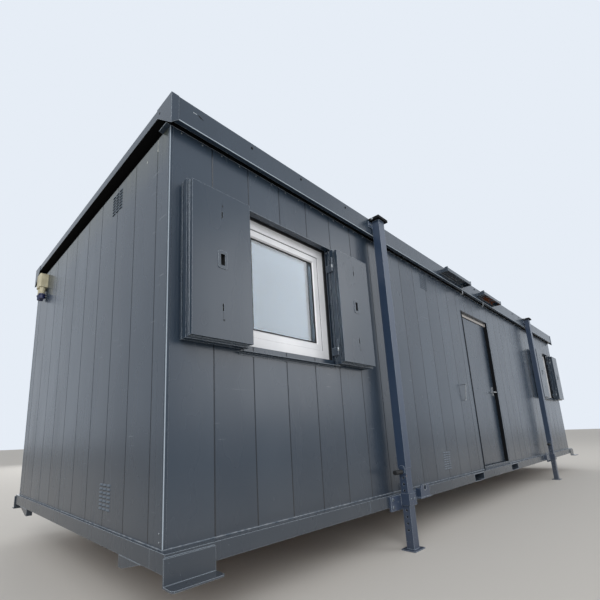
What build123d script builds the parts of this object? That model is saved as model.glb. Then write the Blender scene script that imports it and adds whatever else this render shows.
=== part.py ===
from build123d import *
import os

# Portable steel site cabin on four jack legs.
# Millimetres. X runs along the length, the door side faces -Y, Z is up.
# The origin is on the ground, below the middle of the cabin.

# Overall sizes
length = 9754.0
width = 3048.0
wall_height = 2355.0
floor_line = 430.0
wall = 90.0
plate = 4.0
contact_gap = 0.3

# Pressed seams in the wall sheets
seam_pitch = 304.8
seam_width = 8.0
seam_depth = 2.5

# Base frame
rail_depth = 90.0
rail_plate = 5.0
rail_flange = 60.0
base_over_side = 60.0
base_over_end = 20.0
deck_thickness = 22.0
joist_width = 50.0
joist_pitch = 1219.2

# Fork pockets, set a little left of the middle, within the height of the rails
pocket_centre = -130.0
pocket_spacing = 1430.0
pocket_width = 300.0
pocket_height = 72.0
pocket_plate = 6.0

# Corner feet and brackets below the end rails
foot_length = 288.0
foot_over_end = 10.0
foot_plate = 10.0
foot_drop = 138.0
foot_flange = 80.0
foot_flange_plate = 9.0
foot_top = 15.0
foot_bevel = 12.0
bracket_near = 174.0
bracket_far = 451.0
bracket_drop = 153.0
bracket_foot = 44.0
bracket_depth = 50.0

# Windows
window_from_end = 525.0
window_width = 915.0
window_sill = 1068.0
window_height = 930.0
frame_face = 72.0
frame_set_back = 30.0
frame_depth = 60.0
sash_face = 58.0
sash_inset = 8.0
sash_depth = 44.0
glazing_bevel = 11.0
glass_thickness = 20.0

# Window shutters and the angles above and below them
shutter_width = 445.0
shutter_height = 955.0
shutter_bottom = 1033.0
shutter_stand_off = 12.0
shutter_edge_gap = 8.0
shutter_back_fold = 16.0
shutter_middle_fold = 35.0
shutter_front_fold = 25.0
shutter_front_inset = 14.0
shutter_groove = 11.0
shutter_groove_inset = 12.0
pull_rise = 17.0
pull_rim_width = 66.0
pull_rim_height = 112.0
pull_rim_proud = 4.0
pull_rim_bevel = 9.0
pull_width = 32.0
pull_height = 72.0
pull_depth = 22.0
bolt_slot_spacing = 584.0
bolt_slot_width = 10.0
bolt_slot_height = 45.0
bolt_slot_depth = 8.0
track_depth = 45.0
track_height = 20.0
track_plate = 4.0
track_over = 35.0
track_clearance = 10.0

# Hinges, with knuckles of a few flat sides, as the small round bars have
bar_sides = 12
hinge_radius = 7.0
hinge_length = 60.0
pin_radius = 4.0
hinge_plate = 6.0
shutter_hinge_inset = 130.0
door_hinge_inset = 250.0
door_hinge_radius = 9.0
door_hinge_length = 60.0
door_hinge_clearance = 1.0
door_flap_width = 36.0
door_pin_radius = 5.0

# Door
door_centre = 53.0
door_width = 1040.0
door_height = 2085.0
door_recess = 48.0
door_thickness = 36.0
jamb = 15.0
head_face = 50.0
head_drip = 14.0
head_drip_edge = 3.0
edge_bar_radius = 7.5
edge_bar_tab = 24.0
edge_bar_tab_height = 14.0
frame_lip = 18.0
frame_lip_plate = 2.0
door_gap = 6.0
stop_depth = 10.0
stop_face = 15.0
stop_gap = 4.0
threshold = 30.0
handle_height = 1010.0
handle_from_edge = 62.0
handle_reach = 55.0
handle_radius = 9.0
handle_length = 125.0
handle_return = 30.0
handle_plate_width = 40.0
handle_plate_height = 130.0
handle_plate_drop = -15.0
handle_plate_thickness = 8.0
handle_plate_bevel = 8.0
spindle_radius = 6.0
grab_from_door = 360.0
grab_bottom = 850.0
grab_height = 190.0
grab_radius = 6.0
grab_post_radius = 5.0
grab_reach_top = 48.0
grab_reach_foot = 24.0

# Roof frame
roof_depth = 168.0
roof_over_side = 65.0
roof_over_end = 29.0
roof_lip = 30.0
hem_height = 6.0
hem_proud = 2.5
end_fascia = 60.0
end_recess = 110.0
sheet = 4.0
ceiling = 15.0
corner_plate = 4.0
corner_along_end = 177.0
corner_along_side = 47.0
corner_drop = 45.0

# Hoods on the front roof rail
hood_centre = -140.0
hood_spacing = 1300.0
hood_length = 775.0
hood_reach = 100.0
hood_depth = 40.0
hood_plate = 4.0
hood_drop = 55.0

# Jack legs
leg_from_end = 2180.0
leg_stand_off = 110.0
casing_x = 96.0
casing_y = 74.0
casing_plate = 5.0
casing_bottom = 205.0
casing_top = 2500.0
leg_clearance = 0.4
leg_plate = 5.0
leg_inside = 700.0
sole_x = 170.0
sole_y = 120.0
sole_plate = 8.0
cap_over_x = 36.0
cap_over_y = 22.0
cap_height = 24.0
leg_hole_sides = 8
leg_hole_radius = 9.5
leg_hole_pitch = 50.8
leg_hole_count = 10
pin_below_casing = 28.0
pin_radius_leg = 8.0
pin_proud = 8.0
pin_grip_radius = 17.0
pin_grip_length = 105.0
casing_tab_plate = 6.0
casing_tab_width = 50.0
casing_tab_high = 20.0
casing_tab_low = 45.0
casing_tab_bevel = 12.0
collar_height = 95.0
collar_top = 5.0
collar_wall = 12.0
bracket_plate_x = 440.0
bracket_plate_top = -5.0
bracket_plate_bottom = -120.0
strap_height = 60.0
strap_width = 210.0
strap_top = 2490.0

# Tie-down lugs, an eye plate held off the rail
lug_from_leg = 333.0
lug_width = 168.0
lug_plate = 12.0
lug_stand_off = 50.0
lug_bottom = -65.0
lug_top = 39.0
lug_bevel = 28.0
lug_eye_level = 11.0
lug_eye_radius = 22.0
lug_flange_width = 204.0
lug_flange_plate = 10.0
lug_flange_over = 6.0

# Power inlet on the left end wall
inlet_from_rear = 328.0
inlet_top = 2320.0
inlet_box_width = 144.0
inlet_box_depth = 78.0
inlet_box_height = 150.0
inlet_box_groove = 10.0
inlet_box_bevel = 12.0
inlet_spacing = 72.0
inlet_sides = 24
inlet_radius = 28.0
inlet_length = 75.0
inlet_cap_stand_off = 6.0
inlet_cap_rim_radius = 34.0
inlet_cap_rim = 16.0
inlet_cap_radius = 30.0
inlet_cap_length = 50.0

# Places worked out from the sizes above
half_length = length / 2
half_width = width / 2
wall_top = floor_line + wall_height
rail_bottom = floor_line - rail_depth
base_side = half_width + base_over_side
base_end = half_length + base_over_end
inner_side = half_width - wall
inner_end = half_length - wall
roof_side = half_width + roof_over_side
roof_end = half_length + roof_over_end
roof_top = wall_top + roof_depth
door_left = door_centre - door_width / 2
door_right = door_centre + door_width / 2
sill = floor_line + window_sill
window_centre = half_length - window_from_end - window_width / 2
leg_x = half_length - leg_from_end
leg_y = half_width + leg_stand_off
pocket_outer = pocket_width + 2 * pocket_plate
pocket_outer_height = pocket_height + 2 * pocket_plate
pocket_low = rail_bottom
shutter_thickness = shutter_back_fold + shutter_middle_fold + shutter_front_fold + 2 * shutter_groove
inlet_y = half_width - inlet_from_rear
inner_leg_x = casing_x - 2 * casing_plate - 2 * leg_clearance
inner_leg_y = casing_y - 2 * casing_plate - 2 * leg_clearance
ends = {"left": -1, "right": 1}
sides = {"front": -1, "rear": 1}

os.makedirs("parts", exist_ok=True)


def save(piece, name):
    """Label one finished piece and write it."""
    piece.part.label = name
    export_step(piece.part, f"parts/{name}.step")


def block(x_range, y_range, z_range, mode=Mode.ADD):
    """Extrude a rectangle given by its two limits along each axis."""
    with BuildSketch(Plane.XY.offset(z_range[0])) as outline:
        with Locations(((x_range[0] + x_range[1]) / 2, (y_range[0] + y_range[1]) / 2)):
            Rectangle(x_range[1] - x_range[0], y_range[1] - y_range[0])
    extrude(outline.sketch, amount=z_range[1] - z_range[0], mode=mode)


def prism(plane, points, amount, mode=Mode.ADD):
    """Extrude a closed outline drawn on a plane."""
    with BuildSketch(plane) as outline:
        with BuildLine():
            Polyline(*points, close=True)
        make_face()
    extrude(outline.sketch, amount=amount, mode=mode)


def rod(x, y, z_range, radius, mode=Mode.ADD):
    """Extrude a vertical round bar."""
    with BuildSketch(Plane.XY.offset(z_range[0])) as outline:
        with Locations((x, y)):
            Circle(radius)
    extrude(outline.sketch, amount=z_range[1] - z_range[0], mode=mode)


def sided_bar(x, y, z_range, radius, side_count):
    """Extrude a vertical bar with flat sides."""
    with BuildSketch(Plane.XY.offset(z_range[0])) as outline:
        with Locations((x, y)):
            RegularPolygon(radius, side_count)
    extrude(outline.sketch, amount=z_range[1] - z_range[0])


def bevelled_plate(plane, centre, size, bevel, amount):
    """Extrude a rectangular plate with cut corners."""
    with BuildSketch(plane) as outline:
        with Locations(centre):
            Rectangle(*size)
        chamfer(outline.vertices(), length=bevel)
    extrude(outline.sketch, amount=amount)


def span(a, b):
    """Put two limits in rising order."""
    return (min(a, b), max(a, b))


def seams(x_range, z_range, y_face, side):
    """Cut the upright pressed seams into a long wall's outer face."""
    count = int(length / seam_pitch)
    for index in range(1, count):
        x = -half_length + index * seam_pitch
        if x_range[0] + seam_width < x < x_range[1] - seam_width:
            outline = [
                (x - seam_width / 2, y_face),
                (x + seam_width / 2, y_face),
                (x, y_face - side * seam_depth),
            ]
            prism(Plane.XY.offset(z_range[0]), outline, z_range[1] - z_range[0], Mode.SUBTRACT)


# Base rails along the front and rear, folded channels with the flanges turned in
for side_name, side in sides.items():
    with BuildPart() as base_rail:
        outer = side * base_side
        web = span(outer, outer - side * rail_plate)
        top_flange = span(outer, side * inner_side)
        low_flange = span(outer, outer - side * rail_flange)
        block((-base_end, base_end), web, (rail_bottom, floor_line))
        block((-base_end, base_end), top_flange, (floor_line - rail_plate, floor_line))
        block((-base_end, base_end), low_flange, (rail_bottom, rail_bottom + rail_plate))
        for end in (-1, 1):
            cheek = span(end * base_end, end * (base_end - rail_plate))
            block(cheek, top_flange, (rail_bottom, floor_line))
        for hand in (-1, 1):
            centre = pocket_centre + hand * pocket_spacing / 2
            notch = pocket_outer / 2 + contact_gap
            block(
                (centre - notch, centre + notch),
                span(outer, side * inner_side),
                (rail_bottom, pocket_low + pocket_outer_height + contact_gap),
                Mode.SUBTRACT,
            )
    save(base_rail, f"base_rail_{side_name}")

# Base rails across the two ends
for end_name, end in ends.items():
    with BuildPart() as end_rail:
        outer = end * base_end
        across = (-inner_side, inner_side)
        block(span(outer, outer - end * rail_plate), across, (rail_bottom, floor_line))
        block(span(outer, end * inner_end), across, (floor_line - rail_plate, floor_line))
        block(span(outer, outer - end * rail_flange), across, (rail_bottom, rail_bottom + rail_plate))
    save(end_rail, f"base_rail_{end_name}")

# Fork pockets, rectangular sleeves from front to rear
for end_name, end in ends.items():
    with BuildPart() as fork_pocket:
        centre = pocket_centre + end * pocket_spacing / 2
        with BuildSketch(Plane.XZ.offset(-base_side)):
            with Locations((centre, pocket_low + pocket_outer_height / 2)):
                Rectangle(pocket_outer, pocket_outer_height)
                Rectangle(pocket_width, pocket_height, mode=Mode.SUBTRACT)
        extrude(amount=2 * base_side)
    save(fork_pocket, f"fork_pocket_{end_name}")

# Floor joists between the long rails, each a box that fits the channel. One stands midway
# between the pockets and the others follow from it, so none runs through a pocket.
with BuildPart() as floor_joists:
    joist_side = base_side - rail_plate
    joist_steps = int(half_length / joist_pitch)
    for index in range(-joist_steps, joist_steps + 1):
        x = pocket_centre + index * joist_pitch
        if abs(x) < half_length - joist_pitch / 2:
            block(
                (x - joist_width / 2, x + joist_width / 2),
                (-joist_side, joist_side),
                (rail_bottom + rail_plate, floor_line - rail_plate),
            )
save(floor_joists, "floor_joists")

# Floor deck inside the walls
deck_box = ((-inner_end, inner_end), (-inner_side, inner_side), (floor_line, floor_line + deck_thickness))
with BuildPart() as floor_deck:
    block(*deck_box)
save(floor_deck, "floor_deck")

# Corner feet, plates below the long rails with a flange turned out at the bottom
with BuildPart() as corner_feet:
    for side in sides.values():
        for end in ends.values():
            face = side * base_side
            outer_end = base_end + foot_over_end
            run = span(end * outer_end, end * (outer_end - foot_length))
            drop = floor_line - foot_drop
            block(run, span(face, face + side * foot_plate), (drop, floor_line - foot_top))
            toe = face + side * (foot_plate + foot_flange)
            flange_outline = [
                (run[0], face),
                (run[1], face),
                (run[1], toe - side * foot_bevel),
                (run[1] - foot_bevel, toe),
                (run[0] + foot_bevel, toe),
                (run[0], toe - side * foot_bevel),
            ]
            prism(Plane.XY.offset(drop), flange_outline, foot_flange_plate)
save(corner_feet, "corner_feet")

# Tapered brackets below the end rails
with BuildPart() as skid_brackets:
    for end in ends.values():
        for side in sides.values():
            near = side * (half_width - bracket_near)
            far = side * (half_width - bracket_far)
            taper = [
                (near, rail_bottom),
                (far, rail_bottom),
                (far, floor_line - bracket_drop),
                (far + side * bracket_foot, floor_line - bracket_drop),
            ]
            start = Plane.YZ.offset(end * base_end)
            prism(start, taper, -end * bracket_depth)
save(skid_brackets, "skid_brackets")

# Front wall, in three pieces: left of the door, above it and right of it
for end_name, end in ends.items():
    with BuildPart() as front_wall:
        door_edge = door_left if end < 0 else door_right
        reach = span(end * half_length, door_edge)
        block(reach, (-half_width, -inner_side), (floor_line, wall_top))
        centre = end * window_centre
        block(
            (centre - window_width / 2, centre + window_width / 2),
            (-half_width, -inner_side),
            (sill, sill + window_height),
            Mode.SUBTRACT,
        )
        seams(reach, (floor_line, wall_top), -half_width, -1)
    save(front_wall, f"front_wall_{end_name}")

with BuildPart() as door_header:
    header_low = floor_line + door_height
    block((door_left, door_right), (-half_width, -inner_side), (header_low, wall_top))
    seams((door_left, door_right), (header_low, wall_top), -half_width, -1)
save(door_header, "front_wall_over_door")

with BuildPart() as rear_wall:
    block((-half_length, half_length), (inner_side, half_width), (floor_line, wall_top))
    seams((-half_length, half_length), (floor_line, wall_top), half_width, 1)
save(rear_wall, "rear_wall")

for end_name, end in ends.items():
    with BuildPart() as end_wall:
        face = end * half_length
        block(span(face, end * inner_end), (-inner_side, inner_side), (floor_line, wall_top))
        seam_total = int(width / seam_pitch)
        for index in range(seam_total):
            y = (index - (seam_total - 1) / 2) * seam_pitch
            groove = [
                (face, y - seam_width / 2),
                (face, y + seam_width / 2),
                (face - end * seam_depth, y),
            ]
            prism(Plane.XY.offset(floor_line), groove, wall_height, Mode.SUBTRACT)
    save(end_wall, f"end_wall_{end_name}")

# Roof rails along the front and rear: a deep face with a lip, a top flange, a web that stands
# over the wall's outer face and a flange on the wall, with an open groove between face and web
for side_name, side in sides.items():
    with BuildPart() as roof_rail:
        face = side * roof_side
        web = side * half_width
        inner = side * inner_side
        under_top = roof_top - plate
        over_wall = wall_top + plate
        section = [
            (face, wall_top),
            (face, roof_top),
            (inner, roof_top),
            (inner, under_top),
            (web, under_top),
            (web, over_wall),
            (inner, over_wall),
            (inner, wall_top),
            (web + side * plate, wall_top),
            (web + side * plate, under_top),
            (face - side * plate, under_top),
            (face - side * plate, over_wall),
            (face - side * roof_lip, over_wall),
            (face - side * roof_lip, wall_top),
        ]
        prism(Plane.YZ.offset(-roof_end), section, 2 * roof_end)
        hem_end = roof_end - corner_along_side
        block((-hem_end, hem_end), span(face, face + side * hem_proud), (wall_top, wall_top + hem_height))
    save(roof_rail, f"roof_rail_{side_name}")

# Roof rails across the ends: a shallow overhanging lip above a deep recess
for end_name, end in ends.items():
    with BuildPart() as roof_end_rail:
        lip = end * roof_end
        inner = end * (half_length - end_recess)
        soffit = roof_top - end_fascia
        section = [
            (lip, roof_top),
            (inner, roof_top),
            (inner, wall_top),
            (end * half_length, wall_top),
            (end * half_length, wall_top + plate),
            (inner + end * plate, wall_top + plate),
            (inner + end * plate, soffit),
            (lip, soffit),
        ]
        prism(Plane.XZ.offset(-inner_side), section, 2 * inner_side)
    save(roof_end_rail, f"roof_rail_{end_name}")

# Folded plates round the four roof corners, running to a low point at the corner
with BuildPart() as corner_plates:
    for side in sides.values():
        for end in ends.values():
            x_face = end * roof_end
            y_face = side * roof_side
            low = wall_top - corner_drop
            end_outline = [
                (y_face, roof_top),
                (y_face - side * corner_along_end, roof_top),
                (y_face - side * corner_along_end, roof_top - end_fascia),
                (y_face, low),
            ]
            prism(Plane.YZ.offset(x_face), end_outline, end * corner_plate)
            side_outline = [
                (x_face + end * corner_plate, roof_top),
                (x_face - end * corner_along_side, roof_top),
                (x_face - end * corner_along_side, wall_top),
                (x_face + end * corner_plate, low),
            ]
            prism(Plane.XZ.offset(-y_face), side_outline, -side * corner_plate)
save(corner_plates, "corner_plates")

# Roof sheet and ceiling
reach_x = half_length - end_recess
with BuildPart() as roof_sheet:
    block((-reach_x, reach_x), (-half_width, half_width), (roof_top - plate - sheet, roof_top - plate))
save(roof_sheet, "roof_sheet")

with BuildPart() as ceiling_panel:
    block((-reach_x, reach_x), (-half_width, half_width), (wall_top + plate, wall_top + plate + ceiling))
save(ceiling_panel, "ceiling_panel")

# Hoods on the front roof rail, trays that are open below
with BuildPart() as roof_hoods:
    for end in ends.values():
        centre = hood_centre + end * hood_spacing / 2
        hood_high = wall_top + hood_drop + hood_depth
        run = (centre - hood_length / 2, centre + hood_length / 2)
        reach = (-roof_side - hood_reach, -roof_side)
        block(run, reach, (hood_high - hood_depth, hood_high))
        block(
            (run[0] + hood_plate, run[1] - hood_plate),
            (reach[0] + hood_plate, reach[1] - hood_plate),
            (hood_high - hood_depth, hood_high - hood_plate),
            Mode.SUBTRACT,
        )
save(roof_hoods, "roof_hoods")

# Windows: fixed frames, the sashes inside them and the glass
frame_front = -half_width + frame_set_back
sash_front = frame_front + sash_inset
glass_front = sash_front + (sash_depth - glass_thickness) / 2
window_top = sill + window_height
frame_inside_z = (sill + frame_face, window_top - frame_face)
glass_inset = frame_face + sash_face
glass_z = (sill + glass_inset, window_top - glass_inset)
window_spans = []
for end in ends.values():
    centre = end * window_centre
    window_spans.append((centre - window_width / 2, centre + window_width / 2))

with BuildPart() as window_frames:
    for left, right in window_spans:
        frame_y = (frame_front, frame_front + frame_depth)
        block((left, right), frame_y, (sill, window_top))
        block((left + frame_face, right - frame_face), frame_y, frame_inside_z, Mode.SUBTRACT)
save(window_frames, "window_frames")

with BuildPart() as window_sashes:
    for left, right in window_spans:
        sash_y = (sash_front, sash_front + sash_depth)
        block((left + frame_face, right - frame_face), sash_y, frame_inside_z)
        block((left + glass_inset, right - glass_inset), sash_y, glass_z, Mode.SUBTRACT)
    sash_fronts = window_sashes.faces().sort_by(Axis.Y)[: len(window_spans)]
    inner_edges = [edge for face in sash_fronts for edge in face.inner_wires()[0].edges()]
    chamfer(inner_edges, length=glazing_bevel)
save(window_sashes, "window_sashes")

with BuildPart() as window_glass:
    for left, right in window_spans:
        glass_y = (glass_front, glass_front + glass_thickness)
        block((left + glass_inset, right - glass_inset), glass_y, glass_z)
save(window_glass, "window_glass")

# Shutters, folded trays on lift-off hinges at the two sides of each window. From the wall out
# each tray has a back fold, a groove, a middle fold, a groove and a front fold.
hinge_y = -half_width - shutter_stand_off - shutter_thickness / 2
shutter_low = floor_line + shutter_bottom
shutter_high = shutter_low + shutter_height
hinge_levels = (shutter_low + shutter_hinge_inset, shutter_high - shutter_hinge_inset)
shutter_folds = (
    (shutter_back_fold, 0.0, 0.0),
    (shutter_groove, shutter_groove_inset, shutter_groove_inset),
    (shutter_middle_fold, 0.0, 0.0),
    (shutter_groove, shutter_groove_inset, shutter_groove_inset),
    (shutter_front_fold, shutter_front_inset, 0.0),
)
for end_name, end in ends.items():
    for hand_name, hand in ends.items():
        axis_x = end * window_centre + hand * window_width / 2
        near = axis_x + hand * shutter_edge_gap
        far = near + hand * shutter_width
        front = -half_width - shutter_stand_off
        with BuildPart() as shutter:
            for thickness, far_inset, near_inset in shutter_folds:
                block(
                    span(near + hand * near_inset, far - hand * far_inset),
                    (front - thickness, front),
                    (shutter_low + far_inset, shutter_high - far_inset),
                )
                front -= thickness
            pull_x = near + hand * shutter_width / 2
            pull_z = (shutter_low + shutter_high) / 2 + pull_rise
            rim = (pull_rim_width, pull_rim_height)
            bevelled_plate(
                Plane.XZ.offset(-front), (pull_x, pull_z), rim, pull_rim_bevel, pull_rim_proud
            )
            block(
                (pull_x - pull_width / 2, pull_x + pull_width / 2),
                (front - pull_rim_proud, front + pull_depth),
                (pull_z - pull_height / 2, pull_z + pull_height / 2),
                Mode.SUBTRACT,
            )
            for rise in (-bolt_slot_spacing / 2, bolt_slot_spacing / 2):
                block(
                    (pull_x - bolt_slot_width / 2, pull_x + bolt_slot_width / 2),
                    (front, front + bolt_slot_depth),
                    (pull_z + rise - bolt_slot_height / 2, pull_z + rise + bolt_slot_height / 2),
                    Mode.SUBTRACT,
                )
            for level in hinge_levels:
                tab = span(axis_x, near + hand * hinge_plate)
                tab_y = (hinge_y - hinge_plate / 2, hinge_y + hinge_plate / 2)
                low = level + contact_gap
                high = level + hinge_length
                block(tab, tab_y, (low, high))
                sided_bar(axis_x, hinge_y, (low, high), hinge_radius, bar_sides)
                rod(axis_x, hinge_y, (low, high), pin_radius + contact_gap, Mode.SUBTRACT)
        save(shutter, f"shutter_{end_name}_{hand_name}")

# Fixed halves of the shutter hinges with the head and sill angles of each window
for end_name, end in ends.items():
    with BuildPart() as shutter_fixings:
        centre = end * window_centre
        run = (centre - window_width / 2 - track_over, centre + window_width / 2 + track_over)
        reach = (-half_width - track_depth, -half_width)
        sill_high = shutter_low - track_clearance
        head_low = shutter_high + track_clearance
        block(run, (reach[1] - track_plate, reach[1]), (sill_high - track_height, sill_high))
        block(run, reach, (sill_high - track_plate, sill_high))
        block(run, (reach[1] - track_plate, reach[1]), (head_low, head_low + track_height))
        block(run, reach, (head_low, head_low + track_plate))
        for hand in (-1, 1):
            axis_x = centre + hand * window_width / 2
            for level in hinge_levels:
                plate_x = (axis_x - hinge_plate / 2, axis_x + hinge_plate / 2)
                block(plate_x, (hinge_y, -half_width), (level - hinge_length, level))
                below = (level - hinge_length, level)
                above = (level, level + hinge_length)
                sided_bar(axis_x, hinge_y, below, hinge_radius, bar_sides)
                sided_bar(axis_x, hinge_y, above, pin_radius, bar_sides)
    save(shutter_fixings, f"shutter_fixings_{end_name}")

# Door frame: two jambs and a head with a stop behind the leaf, and the fixed hinge halves
leaf_front = -half_width + door_recess
leaf_left = door_left + jamb + door_gap
leaf_right = door_right - jamb - door_gap
leaf_low = floor_line + threshold + door_gap
leaf_high = floor_line + door_height - head_face - door_gap
stop_front = leaf_front + door_thickness + stop_gap
door_axis_x = door_left + jamb + door_hinge_radius + door_hinge_clearance
door_axis_y = leaf_front - door_hinge_radius - contact_gap
door_levels = (
    leaf_low + door_hinge_inset,
    (leaf_low + leaf_high) / 2,
    leaf_high - door_hinge_inset,
)
with BuildPart() as door_frame:
    frame_high = floor_line + door_height
    head_low = frame_high - head_face
    between = (door_left + jamb, door_right - jamb)
    block((door_left, door_right), (-half_width, stop_front + stop_depth), (floor_line, frame_high))
    block(between, (-half_width, leaf_front), (floor_line, frame_high), Mode.SUBTRACT)
    block(between, (leaf_front, stop_front), (floor_line, head_low), Mode.SUBTRACT)
    block(
        (door_left + jamb + stop_face, door_right - jamb - stop_face),
        (stop_front, stop_front + stop_depth),
        (floor_line, head_low - stop_face),
        Mode.SUBTRACT,
    )
    drip = [
        (leaf_front, frame_high),
        (leaf_front - head_drip, head_low + head_drip_edge),
        (leaf_front - head_drip, head_low),
        (leaf_front, head_low),
    ]
    prism(Plane.YZ.offset(between[0]), drip, between[1] - between[0])
    edge_bar_x = door_left + edge_bar_radius
    sided_bar(edge_bar_x, -half_width, (floor_line, frame_high), edge_bar_radius, bar_sides)
    block(
        (door_left - edge_bar_tab, door_left + edge_bar_radius),
        (-half_width - frame_lip_plate, -half_width),
        (frame_high - edge_bar_tab_height, frame_high),
    )
    block(
        (door_right - jamb, door_right + frame_lip),
        (-half_width - frame_lip_plate, -half_width),
        (floor_line, frame_high),
    )
    sill_plate = (between, (-half_width, -inner_side))
    block(*sill_plate, (floor_line, floor_line + threshold), Mode.SUBTRACT)
    block(*deck_box, Mode.SUBTRACT)
    for level in door_levels:
        strap = (door_left + jamb, door_axis_x)
        strap_y = (door_axis_y - hinge_plate / 2, door_axis_y + hinge_plate / 2)
        below = (level - door_hinge_length, level)
        above = (level, level + door_hinge_length)
        block(strap, strap_y, below)
        sided_bar(door_axis_x, door_axis_y, below, door_hinge_radius, bar_sides)
        sided_bar(door_axis_x, door_axis_y, above, door_pin_radius, bar_sides)
save(door_frame, "door_frame")

with BuildPart() as door_threshold:
    block(*sill_plate, (floor_line, floor_line + threshold))
save(door_threshold, "door_threshold")

# Door leaf with the lifting halves of the hinges
lever_x = leaf_right - handle_from_edge
lever_z = floor_line + handle_height
with BuildPart() as door_leaf:
    block((leaf_left, leaf_right), (leaf_front, leaf_front + door_thickness), (leaf_low, leaf_high))
    with BuildSketch(Plane.XZ.offset(-leaf_front)):
        with Locations((lever_x, lever_z)):
            Circle(spindle_radius + contact_gap)
    extrude(amount=-door_thickness, mode=Mode.SUBTRACT)
    for level in door_levels:
        low = level + contact_gap
        high = level + door_hinge_length
        flap = (door_axis_x, door_axis_x + door_flap_width)
        block(flap, (leaf_front - hinge_plate / 2, leaf_front), (low, high))
        sided_bar(door_axis_x, door_axis_y, (low, high), door_hinge_radius, bar_sides)
        block(
            (door_axis_x - hinge_plate / 2, door_axis_x + hinge_plate / 2),
            (door_axis_y, leaf_front),
            (low, high),
        )
        rod(door_axis_x, door_axis_y, (low, high), door_pin_radius + contact_gap, Mode.SUBTRACT)
save(door_leaf, "door_leaf")

# Lever handle through the leaf, the same inside and outside, each on its own long plate
with BuildPart() as door_handle:
    plate_centre = (lever_x, lever_z - handle_plate_drop)
    plate_size = (handle_plate_width, handle_plate_height)
    with BuildSketch(Plane.XZ.offset(-leaf_front + handle_reach)):
        with Locations((lever_x, lever_z)):
            RegularPolygon(spindle_radius, bar_sides)
    extrude(amount=-door_thickness - 2 * handle_reach)
    for face, out in ((leaf_front, -1), (leaf_front + door_thickness, 1)):
        start = Plane.XZ.offset(-face)
        bevelled_plate(start, plate_centre, plate_size, handle_plate_bevel, -out * handle_plate_thickness)
        grip_y = face + out * (handle_reach - handle_radius)
        with BuildSketch(Plane.YZ.offset(lever_x + handle_radius)):
            with Locations((grip_y, lever_z)):
                RegularPolygon(handle_radius, bar_sides)
        extrude(amount=-handle_length)
        return_x = lever_x + 2 * handle_radius - handle_length
        with BuildSketch(Plane.XZ.offset(-grip_y)):
            with Locations((return_x, lever_z)):
                RegularPolygon(handle_radius, bar_sides)
        extrude(amount=out * handle_return)
save(door_handle, "door_handle")

# Grab handle on the wall beside the door, a bar that leans out towards its top
with BuildPart() as grab_handle:
    grab_x = door_left - grab_from_door
    low = floor_line + grab_bottom
    foot = Vector(grab_x, -half_width - grab_reach_foot, low)
    head = Vector(grab_x, -half_width - grab_reach_top, low + grab_height)
    for end_point, reach in ((foot, grab_reach_foot), (head, grab_reach_top)):
        with BuildSketch(Plane.XZ.offset(half_width)):
            with Locations((end_point.X, end_point.Z)):
                RegularPolygon(grab_post_radius, bar_sides)
        extrude(amount=reach)
    along = head - foot
    with BuildSketch(Plane(origin=foot - along.normalized() * grab_radius, z_dir=along)):
        RegularPolygon(grab_radius, bar_sides)
    extrude(amount=along.length + 2 * grab_radius)
save(grab_handle, "grab_handle")

# Outer casings of the jack legs, each with its cap, the strap that holds it to the roof and
# two tabs at the bottom that take the pin
pin_z = floor_line + casing_bottom - pin_below_casing
with BuildPart() as jack_casings:
    for side in sides.values():
        for end in ends.values():
            x = end * leg_x
            y = side * leg_y
            with BuildSketch(Plane.XY.offset(floor_line + casing_bottom)):
                with Locations((x, y)):
                    Rectangle(casing_x, casing_y)
                    Rectangle(casing_x - 2 * casing_plate, casing_y - 2 * casing_plate, mode=Mode.SUBTRACT)
            extrude(amount=casing_top - casing_bottom)
            for hand in (-1, 1):
                bevelled_plate(
                    Plane.YZ.offset(x + hand * casing_x / 2),
                    (y, floor_line + casing_bottom + (casing_tab_high - casing_tab_low) / 2),
                    (casing_tab_width, casing_tab_high + casing_tab_low),
                    casing_tab_bevel,
                    hand * casing_tab_plate,
                )
            with BuildSketch(Plane.YZ.offset(x - casing_x)):
                with Locations((y, pin_z)):
                    RegularPolygon(leg_hole_radius, leg_hole_sides)
            extrude(amount=2 * casing_x, mode=Mode.SUBTRACT)
            cap_half = casing_x / 2 + cap_over_x
            block(
                (x - cap_half, x + cap_half),
                span(side * roof_side, y + side * (casing_y / 2 + cap_over_y)),
                (floor_line + casing_top, floor_line + casing_top + cap_height),
            )
            strap_high = floor_line + strap_top
            block(
                (x - strap_width / 2, x + strap_width / 2),
                span(side * roof_side, y - side * casing_y / 2),
                (strap_high - strap_height, strap_high),
            )
save(jack_casings, "jack_casings")

# Inner legs, tubes on sole plates with a row of holes down from the pin
with BuildPart() as jack_legs:
    for side in sides.values():
        for end in ends.values():
            x = end * leg_x
            y = side * leg_y
            with BuildSketch(Plane.XY.offset(sole_plate)):
                with Locations((x, y)):
                    Rectangle(inner_leg_x, inner_leg_y)
                    Rectangle(inner_leg_x - 2 * leg_plate, inner_leg_y - 2 * leg_plate, mode=Mode.SUBTRACT)
            extrude(amount=floor_line + casing_bottom + leg_inside - sole_plate)
            block((x - sole_x / 2, x + sole_x / 2), (y - sole_y / 2, y + sole_y / 2), (0, sole_plate))
            with BuildSketch(Plane.YZ.offset(x - inner_leg_x)):
                for index in range(leg_hole_count):
                    with Locations((y, pin_z - index * leg_hole_pitch)):
                        RegularPolygon(leg_hole_radius, leg_hole_sides)
            extrude(amount=2 * inner_leg_x, mode=Mode.SUBTRACT)
save(jack_legs, "jack_legs")

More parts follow.
